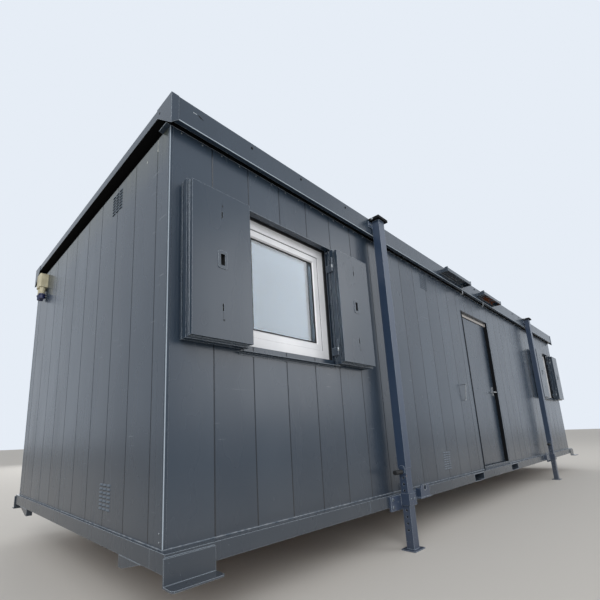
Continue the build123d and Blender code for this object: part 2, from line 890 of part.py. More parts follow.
# Pins through the casing tabs and the inner legs, each with a round grip
with BuildPart() as jack_pins:
    for side in sides.values():
        for end in ends.values():
            pin_half = casing_x / 2 + casing_tab_plate + pin_proud
            with BuildSketch(Plane.YZ.offset(end * leg_x - pin_half)):
                with Locations((side * leg_y, pin_z)):
                    RegularPolygon(pin_radius_leg, bar_sides)
            extrude(amount=2 * pin_half)
            with BuildSketch(Plane.YZ.offset(end * leg_x - pin_half)):
                with Locations((side * leg_y, pin_z)):
                    RegularPolygon(pin_grip_radius, bar_sides)
            extrude(amount=-pin_grip_length)
save(jack_pins, "jack_pins")

# Brackets that hold the legs at the base rail: a wide plate and a collar round the leg
with BuildPart() as jack_brackets:
    for side in sides.values():
        for end in ends.values():
            x = end * leg_x
            y = side * leg_y
            hole_x = inner_leg_x / 2 + leg_clearance
            hole_y = inner_leg_y / 2 + leg_clearance
            plate_y = span(side * base_side, y - side * hole_y)
            plate_z = (floor_line + bracket_plate_bottom, floor_line + bracket_plate_top)
            block((x - bracket_plate_x / 2, x + bracket_plate_x / 2), plate_y, plate_z)
            high = floor_line + collar_top
            low = high - collar_height
            collar_x = hole_x + collar_wall
            collar_y = span(y - side * hole_y, y + side * (hole_y + collar_wall))
            block((x - collar_x, x + collar_x), collar_y, (low, high))
            block((x - hole_x, x + hole_x), (y - hole_y, y + hole_y), (low, high), Mode.SUBTRACT)
save(jack_brackets, "jack_brackets")

# Tie-down lugs beside the legs: an eye plate on two cheeks, over a flange
with BuildPart() as tie_lugs:
    for side in sides.values():
        for end in ends.values():
            x = end * (leg_x - lug_from_leg)
            face = side * base_side
            outer = face + side * lug_stand_off
            back = outer - side * lug_plate
            low = floor_line + lug_bottom
            high = floor_line + lug_top
            half = lug_width / 2
            plate_outline = [
                (x - half, low),
                (x + half, low),
                (x + half, high - lug_bevel),
                (x + half - lug_bevel, high),
                (x - half + lug_bevel, high),
                (x - half, high - lug_bevel),
            ]
            prism(Plane.XZ.offset(-outer), plate_outline, side * lug_plate)
            for hand in (-1, 1):
                cheek = span(x + hand * half, x + hand * (half - lug_plate))
                block(cheek, span(face, back), (low, high - lug_bevel))
            with BuildSketch(Plane.XZ.offset(-outer)):
                with Locations((x, floor_line + lug_eye_level)):
                    Circle(lug_eye_radius)
            extrude(amount=side * lug_plate, mode=Mode.SUBTRACT)
            block(
                (x - lug_flange_width / 2, x + lug_flange_width / 2),
                span(face, outer + side * lug_flange_over),
                (low - lug_flange_plate, low),
            )
save(tie_lugs, "tie_lugs")

# Power inlet: a wall box with two hanging sleeves, and their caps
sleeve_low = floor_line + inlet_top - inlet_box_height - inlet_length
sleeve_x = -half_length - inlet_cap_rim_radius - inlet_cap_stand_off
with BuildPart() as power_inlet:
    box_low = floor_line + inlet_top - inlet_box_height
    front = -half_length - inlet_box_depth
    box_outline = [
        (-half_length, inlet_y - inlet_box_width / 2),
        (front + inlet_box_bevel, inlet_y - inlet_box_width / 2),
        (front, inlet_y - inlet_box_width / 2 + inlet_box_bevel),
        (front, inlet_y - inlet_box_groove / 2),
        (front + inlet_box_groove, inlet_y),
        (front, inlet_y + inlet_box_groove / 2),
        (front, inlet_y + inlet_box_width / 2 - inlet_box_bevel),
        (front + inlet_box_bevel, inlet_y + inlet_box_width / 2),
        (-half_length, inlet_y + inlet_box_width / 2),
    ]
    prism(Plane.XY.offset(box_low), box_outline, inlet_box_height)
    for hand in (-1, 1):
        y = inlet_y + hand * inlet_spacing / 2
        sided_bar(sleeve_x, y, (sleeve_low, box_low), inlet_radius, inlet_sides)
save(power_inlet, "power_inlet")

with BuildPart() as inlet_caps:
    for hand in (-1, 1):
        y = inlet_y + hand * inlet_spacing / 2
        rim_low = sleeve_low - inlet_cap_rim
        cap_low = sleeve_low - inlet_cap_length
        sided_bar(sleeve_x, y, (rim_low, sleeve_low), inlet_cap_rim_radius, inlet_sides)
        sided_bar(sleeve_x, y, (cap_low, rim_low), inlet_cap_radius, inlet_sides)
save(inlet_caps, "inlet_caps")
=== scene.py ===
"""Looks of a portable steel site cabin on four jack legs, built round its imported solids."""

import logging
import math
from dataclasses import dataclass, field
from enum import Enum
from itertools import product

import bmesh
import bpy
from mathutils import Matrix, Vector


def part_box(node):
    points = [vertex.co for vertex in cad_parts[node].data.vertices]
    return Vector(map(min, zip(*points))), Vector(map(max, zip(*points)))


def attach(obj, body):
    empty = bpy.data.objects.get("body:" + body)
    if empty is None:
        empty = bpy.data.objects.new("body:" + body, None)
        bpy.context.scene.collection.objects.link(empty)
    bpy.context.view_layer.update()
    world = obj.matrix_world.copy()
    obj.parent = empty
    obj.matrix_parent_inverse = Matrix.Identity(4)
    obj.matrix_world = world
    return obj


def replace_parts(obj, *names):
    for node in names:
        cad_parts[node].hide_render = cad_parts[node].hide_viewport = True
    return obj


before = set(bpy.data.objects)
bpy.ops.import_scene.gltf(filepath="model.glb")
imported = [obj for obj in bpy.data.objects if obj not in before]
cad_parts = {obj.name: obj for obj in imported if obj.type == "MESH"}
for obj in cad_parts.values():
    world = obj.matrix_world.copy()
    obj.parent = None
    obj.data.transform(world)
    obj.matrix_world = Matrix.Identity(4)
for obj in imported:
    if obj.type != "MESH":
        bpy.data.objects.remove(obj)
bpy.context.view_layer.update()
log = logging.getLogger("site_cabin")

Socket = bpy.types.NodeSocket
Pair = tuple[float, float]
Outline = tuple[Pair, ...]

MM = 0.001
SIGNS = (-1, 1)
CORNERS = tuple(product(SIGNS, SIGNS))
END_NAMES = {-1: "left", 1: "right"}
X, Y, Z = Vector((1.0, 0.0, 0.0)), Vector((0.0, 1.0, 0.0)), Vector((0.0, 0.0, 1.0))

# Profiles of fixings, as pairs of radius and rise, both in shares of the fixing's radius.
WASHER: Outline = ((1.35, 0.0), (1.35, 0.16), (1.25, 0.24))
HEXAGON_HEAD: Outline = ((1.0, 0.2), (1.0, 0.75), (0.84, 0.9), (0.5, 0.95))
PAN_HEAD: Outline = ((1.0, 0.0), (1.0, 0.22), (0.82, 0.5), (0.45, 0.62), (0.36, 0.62), (0.3, 0.35))


class Paint(Enum):
    """Colours of the cabin's finishes, as sRGB hex."""

    ANTHRACITE = "#293543"
    CHALKED = "#485563"
    FRAME_ANTHRACITE = "#263341"
    LEG_BLUE = "#2d3d55"
    # Pale edges: partly worn paint, partly painted highlight.
    WORN_EDGE = "#a9b5c1"
    PRIMER = "#7b838b"
    RUST = "#6b3f28"
    ROAD_DUST = "#7d7974"
    LINING = "#cfcfc8"
    UPVC = "#e2e4e8"
    UPVC_SHADE = "#c3c7cd"
    RUBBER = "#15171a"
    ZINC = "#a9adb0"
    ZINC_DULL = "#83898e"
    SATIN = "#c6c8ca"
    PLYWOOD = "#7c5a3a"
    PLYWOOD_DARK = "#5a3d26"
    CREAM = "#c8c2a8"
    CREAM_GRIME = "#8e8669"
    CAP_BLUE = "#17234f"
    MASTIC = "#8b9198"
    # Near black: painted shade in recesses, and the darkest tone of rubber.
    DARK_GAP = "#08090b"
    # Painted shade for reveals.
    REVEAL_SHADE = "#131518"
    # Painted shade for the pressed seams.
    SEAM_SHADE = "#141c25"
    EAVES_GRIME = "#55584a"
    PALE_DRIP = "#c9cdc6"
    PALE_STOP = "#b9b6b4"
    GLASS_BODY = "#e7f1f9"
    FLOOR = "#cdcac5"
    SURROUND = "#e6edf6"


Layers = list[tuple[Socket, Paint]]


class Out(Enum):
    """The way that a fixing points out of the surface that carries it."""

    FRONT = (0.0, -1.0, 0.0)
    REAR = (0.0, 1.0, 0.0)
    LEFT = (-1.0, 0.0, 0.0)
    RIGHT = (1.0, 0.0, 0.0)
    UP = (0.0, 0.0, 1.0)

    @classmethod
    def along_x(cls, sign: int) -> "Out":
        """The way that points to an end of the cabin."""
        return cls.RIGHT if sign > 0 else cls.LEFT

    @classmethod
    def along_y(cls, sign: int) -> "Out":
        """The way that points to the front or the rear."""
        return cls.REAR if sign > 0 else cls.FRONT


def linear(paint: Paint) -> tuple[float, float, float, float]:
    """Turn a finish's sRGB hex into linear colour.

    Args:
        paint: The colour to turn.

    Returns:
        Red, green, blue and a full alpha, all linear.
    """
    digits = paint.value.lstrip("#")
    parts = [int(digits[i:i + 2], 16) / 255 for i in (0, 2, 4)]
    return (*(c / 12.92 if c <= 0.04045 else ((c + 0.055) / 1.055) ** 2.4 for c in parts), 1.0)


def circle(middle: Vector, across: Vector, beside: Vector, radius: float, sides: int) -> list[Vector]:
    """Set points round a circle.

    Args:
        middle: The circle's middle.
        across: The way to its first point.
        beside: The way to the point a quarter turn on.
        radius: Its radius.
        sides: How many points it has.

    Returns:
        The points.
    """
    turns = [2 * math.pi * index / sides for index in range(sides)]
    return [middle + (across * math.cos(turn) + beside * math.sin(turn)) * radius for turn in turns]


@dataclass(frozen=True)
class Places:
    """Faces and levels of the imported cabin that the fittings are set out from, in metres."""

    wall_end: float
    wall_side: float
    wall_foot: float
    wall_head: float
    rail_end: float
    rail_side: float
    rail_foot: float
    roof_end: float
    roof_side: float
    roof_top: float
    leg_x: float
    leg_y: float
    window_x: float = 3.8945
    window_half: float = 0.4575
    lug_x: float = 2.364

    @classmethod
    def read(cls) -> "Places":
        """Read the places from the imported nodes' boxes.

        Returns:
            The places.
        """
        low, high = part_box("rear_wall")
        rail_low, rail_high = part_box("base_rail_rear")
        roof_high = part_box("roof_rail_rear")[1]
        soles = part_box("jack_legs")[1]
        hem_proud, sole_half_x, sole_half_y = 2.5 * MM, 0.085, 0.060
        return cls(
            high.x, high.y, low.z, high.z, rail_high.x, rail_high.y, rail_low.z,
            roof_high.x, roof_high.y - hem_proud, roof_high.z,
            soles.x - sole_half_x, soles.y - sole_half_y,
        )


at = Places.read()


@dataclass
class NodeSheet:
    """The nodes of one material, or of the surround, while they are laid out."""

    owner: bpy.types.Material | bpy.types.World

    def __post_init__(self) -> None:
        """Empty the owner's tree."""
        self.owner.use_nodes = True
        self.owner.node_tree.nodes.clear()

    def add(
        self, kind: str, inputs: dict | None = None, out: int | str = 0, **settings: object
    ) -> Socket | None:
        """Add one shader node with its settings and links.

        Args:
            kind: The node's type, without the word ShaderNode that all of them start with.
            inputs: A value or another node's socket for each named or numbered input.
            out: The output that is wanted.
            settings: The node's own properties.

        Returns:
            That output, or None for a node that has no outputs.
        """
        tree = self.owner.node_tree
        node = tree.nodes.new(f"ShaderNode{kind}")
        for name, value in settings.items():
            setattr(node, name, value)
        for key, value in (inputs or {}).items():
            if isinstance(value, Socket):
                tree.links.new(value, node.inputs[key])
            else:
                node.inputs[key].default_value = value
        return node.outputs[out] if node.outputs else None

    def axis(self, name: str) -> Socket:
        """The surface's place along one axis, in metres."""
        return self.add("SeparateXYZ", {0: self.add("TexCoord", out="Object")}, name)

    def pattern(self, size_mm: float, stretch: tuple = (1.0, 1.0, 1.0), detail: float = 2.0) -> Socket:
        """Lay out a noise whose features have a real size.

        Args:
            size_mm: The size of one feature.
            stretch: What each axis is multiplied by first.
            detail: How much finer structure it has.

        Returns:
            The noise, from 0 to 1.
        """
        place = self.add("Mapping", {"Vector": self.add("TexCoord", out="Object"), "Scale": stretch})
        return self.add("TexNoise", {"Vector": place, "Scale": 1 / (size_mm * MM), "Detail": detail})

    def layered(self, base: Paint, layers: Layers) -> Socket:
        """Lay colours one over another.

        Args:
            base: The lowest colour.
            layers: How much of each further colour shows, and which it is, from the lowest up.

        Returns:
            The colour that is seen.
        """
        colour = linear(base)
        for share, paint in layers:
            colour = self.add("Mix", {0: share, 6: colour, 7: linear(paint)}, 2, data_type="RGBA")
        return colour


@dataclass(frozen=True)
class Zone:
    """A box-shaped part of a surface that takes another colour, in metres.

    A mirrored zone is measured from the middle of the cabin both ways. A ragged one is broken up by
    a noise whose features have the size given.
    """

    paint: Paint
    x: Pair | None = None
    y: Pair | None = None
    z: Pair | None = None
    mirrored: bool = True
    ragged_mm: float = 0.0

    def mask(self, sheet: NodeSheet) -> Socket:
        """Find the zone.

        Args:
            sheet: The material's nodes.

        Returns:
            1 in the zone and 0 outside it.
        """
        found = 1.0
        for axis, limits in (("X", self.x), ("Y", self.y), ("Z", self.z)):
            if limits is None:
                continue
            place = sheet.axis(axis)
            if self.mirrored and axis != "Z":
                place = sheet.add("Math", {0: place}, operation="ABSOLUTE")
            middle, reach = (limits[0] + limits[1]) / 2, (limits[1] - limits[0]) / 2
            test = sheet.add("Math", {0: place, 1: middle, 2: reach}, operation="COMPARE")
            found = sheet.add("Math", {0: found, 1: test}, operation="MULTIPLY")
        if self.ragged_mm:
            torn = sheet.add("MapRange", {0: sheet.pattern(self.ragged_mm), 1: 0.44, 2: 0.52})
            found = sheet.add("Math", {0: found, 1: torn}, operation="MULTIPLY")
        return found


@dataclass(frozen=True)
class Surface:
    """What all finishes share: a name, the record's slot and one coat."""

    name: str
    slot: str | None

    def material(self) -> bpy.types.Material:
        """Build the finish's material.

        Returns:
            The finished material.
        """
        made = bpy.data.materials.new(self.name)
        sheet = NodeSheet(made)
        sheet.add("OutputMaterial", {"Surface": sheet.add("BsdfPrincipled", self.coat(sheet))})
        return made

    def coat(self, sheet: NodeSheet) -> dict:
        """Each kind of finish says here what goes to its coat's sockets."""
        return {}


@dataclass(frozen=True)
class PaintedSteel(Surface):
    """Polyester paint on pressed or folded steel sheet.

    To the eye it is an even semi-gloss with a faint orange peel. The sheet is never quite flat, so
    what it mirrors runs in long upright waves. Folds and arrises are painted as fine pale lines, partly
    worn paint and partly painted highlight, and dust dulls it near the ground.
    """

    paint: Paint = Paint.FRAME_ANTHRACITE
    roughness: float = 0.24
    fading: float = 0.22
    patch_mm: float = 900.0
    haze_mm: float = 160.0
    wave_mm: float = 700.0
    wave_depth_mm: float = 0.2
    # Real orange peel is a few millimetres across, and is drawn coarser so that it shows.
    peel_mm: float = 12.0
    peel_depth_mm: float = 0.006
    edge_mm: float = 4.0
    # How pale the arrises are painted, partly as wear and partly as painted highlight.
    edge_wear_and_highlight: float = 0.85
    dust: float = 0.30
    dust_z: Pair = (0.30, 0.80)
    chips: float = 0.0
    chip_mm: float = 14.0
    rust: float = 0.0
    rust_mm: float = 55.0
    zones: tuple[Zone, ...] = ()

    def coat(self, sheet: NodeSheet) -> dict:
        """Lay fading, dust, damage, pale edges of wear and painted highlight, and zones over the paint.

        Args:
            sheet: The material's nodes.

        Returns:
            What goes to the coat's sockets.
        """
        add = sheet.add
        patch = sheet.pattern(self.patch_mm)
        layers = [(add("MapRange", {0: patch, 1: 0.3, 2: 0.7, 4: self.fading}), Paint.CHALKED)]
        layers += self.tones(sheet)
        floor, knee = self.dust_z
        low = add("MapRange", {0: sheet.axis("Z"), 1: floor, 2: knee, 3: self.dust, 4: 0.0})
        layers.append((add("Math", {0: low, 1: patch}, operation="MULTIPLY"), Paint.ROAD_DUST))
        for amount, size_mm, rare, under in (
            (self.chips, self.chip_mm, 0.735, Paint.PRIMER), (self.rust, self.rust_mm, 0.745, Paint.RUST)
        ):
            if amount:
                level = rare - amount
                spots = {0: sheet.pattern(size_mm), 1: level, 2: level + 0.03, 4: 0.85}
                layers.append((add("MapRange", spots), under))
        rounded = add("Bevel", {"Radius": self.edge_mm * MM}, samples=4)
        if self.edge_wear_and_highlight:
            # An arris is where the rounded normal leaves the flat one.
            pair = {0: rounded, 1: add("NewGeometry", out="Normal")}
            flatness = add("VectorMath", pair, "Value", operation="DOT_PRODUCT")
            worn = add("MapRange", {0: flatness, 1: 0.99, 2: 0.88, 4: self.edge_wear_and_highlight})
            # The pale arris is partly worn paint and partly painted highlight.
            layers.append((worn, Paint.WORN_EDGE))
        haze = sheet.pattern(self.haze_mm, (1.0, 1.0, 0.3))
        rough = add("MapRange", {0: haze, 1: 0.3, 2: 0.7, 3: self.roughness, 4: self.roughness + 0.05})
        shine, matt_rough, matt_shine = 0.5, 0.75, 0.12
        for zone in self.zones:
            inside = zone.mask(sheet)
            layers.append((inside, zone.paint))
            rough = add("Mix", {0: inside, 2: rough, 3: matt_rough})
            shine = add("Mix", {0: inside, 2: shine, 3: matt_shine})
        normal = rounded
        for height, depth_mm in (
            (sheet.pattern(self.wave_mm, (1.0, 1.0, 0.16), 1.0), self.wave_depth_mm),
            (sheet.pattern(self.peel_mm, detail=0.0), self.peel_depth_mm),
        ):
            raised = {"Height": height, "Distance": depth_mm * MM, "Strength": 1.0, "Normal": normal}
            normal = add("Bump", raised)
        colour = sheet.layered(self.paint, layers)
        return {"Base Color": colour, "Roughness": rough, "Specular IOR Level": shine, "Normal": normal}

    def tones(self, sheet: NodeSheet) -> Layers:
        """Add no layer of its own: a folded part has one tone."""
        return []


@dataclass(frozen=True)
class WallPaint(PaintedSteel):
    """The same paint on the long wall sheets.

    Each plank between two pressed seams has a shade of its own, and the seams are darkened with painted
    shade. Grime has run down the end walls from the eaves, and a few level scuffs lie on the sheet.
    """

    paint: Paint = Paint.ANTHRACITE
    wave_mm: float = 420.0
    wave_depth_mm: float = 0.5
    edge_wear_and_highlight: float = 0.0
    seam_pitch: float = 0.3048
    seam_width: float = 0.010
    plank_tone: float = 0.30
    seam_painted_shade: float = 0.8
    grime_mm: float = 60.0
    grime_fall: float = 0.28
    grime: float = 0.9
    scuff_mm: float = 18.0
    scuffs: float = 0.35

    def tones(self, sheet: NodeSheet) -> Layers:
        """Add the planks' shades, the painted shade in the seams, the grime and the scuffs.

        Args:
            sheet: The material's nodes.

        Returns:
            Their layers.
        """
        add = sheet.add
        just_past_the_end = at.wall_end + 0.5 * MM
        numbers, seams = [], []
        for axis, shift in (("X", just_past_the_end / self.seam_pitch), ("Y", 0.5)):
            scaled = {0: sheet.axis(axis), 1: 1 / self.seam_pitch, 2: shift}
            planks = add("Math", scaled, operation="MULTIPLY_ADD")
            numbers.append(add("Math", {0: planks}, operation="FLOOR"))
            away = add("Math", {0: planks, 1: 0.5}, operation="PINGPONG")
            half = self.seam_width / 2 / self.seam_pitch
            seams.append(add("Math", {0: away, 1: half}, operation="LESS_THAN"))
        # The counts along both axes make one number for each plank.
        number = add("Math", {0: numbers[0], 1: 17.0, 2: numbers[1]}, operation="MULTIPLY_ADD")
        shade = add("TexWhiteNoise", {"W": number}, "Value", noise_dimensions="1D")
        long_walls = Zone(self.paint, x=(0.0, at.wall_end - 0.007)).mask(sheet)
        along = add("Math", {0: seams[0], 1: long_walls}, operation="MULTIPLY")
        seam = add("Math", {0: along, 1: seams[1]}, operation="MAXIMUM")
        end_walls = Zone(self.paint, x=(at.wall_end - 0.004, at.wall_end + 0.004)).mask(sheet)
        head = {0: sheet.axis("Z"), 1: at.wall_head - self.grime_fall, 2: at.wall_head, 4: self.grime}
        run = sheet.pattern(self.grime_mm, (1.0, 1.0, 0.05))
        for part in (end_walls, add("MapRange", head)):
            run = add("Math", {0: run, 1: part}, operation="MULTIPLY")
        scuff = {0: sheet.pattern(self.scuff_mm, (0.07, 0.07, 1.0)), 1: 0.72, 2: 0.75, 4: self.scuffs}
        return [
            (add("MapRange", {0: shade, 4: self.plank_tone}), Paint.CHALKED),
            # The seams are darkened as painted shade.
            (add("Math", {0: seam, 1: self.seam_painted_shade}, operation="MULTIPLY"), Paint.SEAM_SHADE),
            (run, Paint.EAVES_GRIME),
            (add("MapRange", scuff), Paint.PRIMER),
        ]


@dataclass(frozen=True)
class PlainSurface(Surface):
    """A moulded, rolled or sawn surface with a slight mottle and a fine grain."""

    paint: Paint
    shade: Paint
    roughness: float
    metallic: float = 0.0
    mottle_mm: float = 60.0
    mottle: float = 0.12
    # Most real grain is finer than this, and is drawn coarser so that it shows.
    grain_mm: float = 3.0
    grain_stretch: tuple[float, float, float] = (1.0, 1.0, 1.0)
    grain_depth_mm: float = 0.02

    def coat(self, sheet: NodeSheet) -> dict:
        """Mottle the colour and grain the surface.

        Args:
            sheet: The material's nodes.

        Returns:
            What goes to the coat's sockets.
        """
        grain = sheet.pattern(self.grain_mm, self.grain_stretch)
        rough = {0: grain, 1: 0.3, 2: 0.7, 3: self.roughness, 4: self.roughness + 0.08}
        share = sheet.add("MapRange", {0: sheet.pattern(self.mottle_mm), 1: 0.35, 2: 0.65, 4: self.mottle})
        raised = {"Height": grain, "Distance": self.grain_depth_mm * MM, "Strength": 1.0}
        return {
            "Base Color": sheet.layered(self.paint, [(share, self.shade)]),
            "Roughness": sheet.add("MapRange", rough),
            "Metallic": self.metallic,
            "Normal": sheet.add("Bump", raised),
        }


@dataclass(frozen=True)
class FloatGlass(Surface):
    """Clear float glass: mostly what it mirrors, with a faint grey-blue body and a slow ripple."""

    film_mm: float = 180.0
    ripple_mm: float = 260.0
    ripple_depth_mm: float = 0.08

    def coat(self, sheet: NodeSheet) -> dict:
        """Give the panes their body, a thin film of dirt and their ripple.

        Args:
            sheet: The material's nodes.

        Returns:
            What goes to the coat's sockets.
        """
        film = {0: sheet.pattern(self.film_mm), 1: 0.35, 2: 0.75, 3: 0.01, 4: 0.05}
        ripple = {"Height": sheet.pattern(self.ripple_mm), "Distance": self.ripple_depth_mm * MM}
        return {
            "Base Color": linear(Paint.GLASS_BODY),
            "Roughness": sheet.add("MapRange", film),
            "IOR": 1.52,
            "Transmission Weight": 1.0,
            "Normal": sheet.add("Bump", {**ripple, "Strength": 1.0}),
        }


class Draft:
    """A mesh in the making, with the few forms that the cabin's fittings are made of."""

    def __init__(self) -> None:
        """Open an empty mesh."""
        self.shape = bmesh.new()

    def skin(self, rings: list[list[Vector]], closed: bool = False) -> None:
        """Join rings of points by a skin, with caps on the two ends of an open run.

        Args:
            rings: The rings, all with as many points.
            closed: Whether the last ring meets the first.
        """
        rows = [[self.shape.verts.new(point) for point in ring] for ring in rings]
        for first, second in zip(rows, rows[1:] + rows[:1] if closed else rows[1:]):
            for index in range(len(first)):
                after = (index + 1) % len(first)
                self.shape.faces.new((first[index], first[after], second[after], second[index]))
        for cap in () if closed else (rows[0], rows[-1]):
            self.shape.faces.new(cap)

    def turned(
        self, foot: tuple | Vector, out: Out | Vector, profile: Outline, sides: int = 16, size: float = 1.0
    ) -> None:
        """Turn a profile about an axis.

        Args:
            foot: Where the axis leaves the surface.
            out: The way it points.
            profile: Pairs of radius and rise, from the foot up.
            sides: How many flats go round it.
            size: What the profile is multiplied by.
        """
        axis = Vector(out.value) if isinstance(out, Out) else out.normalized()
        across = axis.orthogonal().normalized()
        beside = axis.cross(across)
        self.skin([
            circle(Vector(foot) + axis * rise * size, across, beside, radius * size, sides)
            for radius, rise in profile
        ])

    def hex_bolt(self, foot: tuple, out: Out, width_mm: float) -> None:
        """Seat a domed hexagon head of that width across its corners, on its washer."""
        self.turned(foot, out, WASHER, 20, width_mm * MM / 2)
        self.turned(foot, out, HEXAGON_HEAD, 6, width_mm * MM / 2)

    def pan_screw(self, foot: tuple, out: Out, radius_mm: float) -> None:
        """Seat a pan head screw of that radius, with a sunk drive."""
        self.turned(foot, out, PAN_HEAD, 12, radius_mm * MM)

    def block(self, first: tuple | Vector, second: tuple | Vector, ease_mm: float = 0.4) -> None:
        """Make a bar or plate with eased edges between two corners.

        Args:
            first: One corner.
            second: The corner across from it.
            ease_mm: How much its edges are eased.
        """
        low = [min(pair) for pair in zip(first, second)]
        high = [max(pair) for pair in zip(first, second)]
        e = ease_mm * MM
        rings = []
        for z, inset in ((low[2], e), (low[2] + e, 0.0), (high[2] - e, 0.0), (high[2], e)):
            x0, x1, y0, y1 = low[0] + inset, high[0] - inset, low[1] + inset, high[1] - inset
            plan = ((x0 + e, y0), (x1 - e, y0), (x1, y0 + e), (x1, y1 - e),
                    (x1 - e, y1), (x0 + e, y1), (x0, y1 - e), (x0, y0 + e))
            rings.append([Vector((x, y, z)) for x, y in plan])
        self.skin(rings)

    def loop(self, low: Pair, high: Pair, section: Outline) -> None:
        """Run a section round an upright rectangle, mitred at its corners.

        Args:
            low: The rectangle's lowest x and z.
            high: Its highest x and z.
            section: Pairs of how far inward and the place along y.
        """
        corners = ((*low, 1, 1), (high[0], low[1], -1, 1), (*high, -1, -1), (low[0], high[1], 1, -1))
        self.skin([
            [Vector((x + right * inward, y, z + up * inward)) for inward, y in section]
            for x, z, right, up in corners
        ], closed=True)

    def tube(self, points: list[Vector], radius_mm: float, sides: int) -> None:
        """Bend a round wire through a list of points.

        Args:
            points: The points that its middle passes.
            radius_mm: Its radius.
            sides: How many flats go round it.
        """
        across = (points[1] - points[0]).orthogonal().normalized()
        rings = []
        for index, point in enumerate(points):
            ahead = points[min(index + 1, len(points) - 1)] - points[max(index - 1, 0)]
            ahead.normalize()
            across = (across - ahead * across.dot(ahead)).normalized()
            rings.append(circle(point, across, ahead.cross(across), radius_mm * MM, sides))
        self.skin(rings)

    def bead(self, start: tuple, end: tuple, radius_mm: float = 3.5, ripple_mm: float = 7.0) -> None:
        """Lay a rippled bead of weld or mastic along a straight joint.

        Args:
            start: One end of the joint.
            end: Its other end.
            radius_mm: The bead's radius.
            ripple_mm: The length of half a ripple.
        """
        along = Vector(end) - Vector(start)
        count = max(4, int(along.length / (ripple_mm * MM)))
        profile = []
        for index in range(count + 1):
            swell = 0.5 if index in (0, count) else 1.0 + 0.16 * (-1) ** index
            profile.append((radius_mm * MM * swell, along.length * index / count))
        self.turned(start, along, tuple(profile), 6)


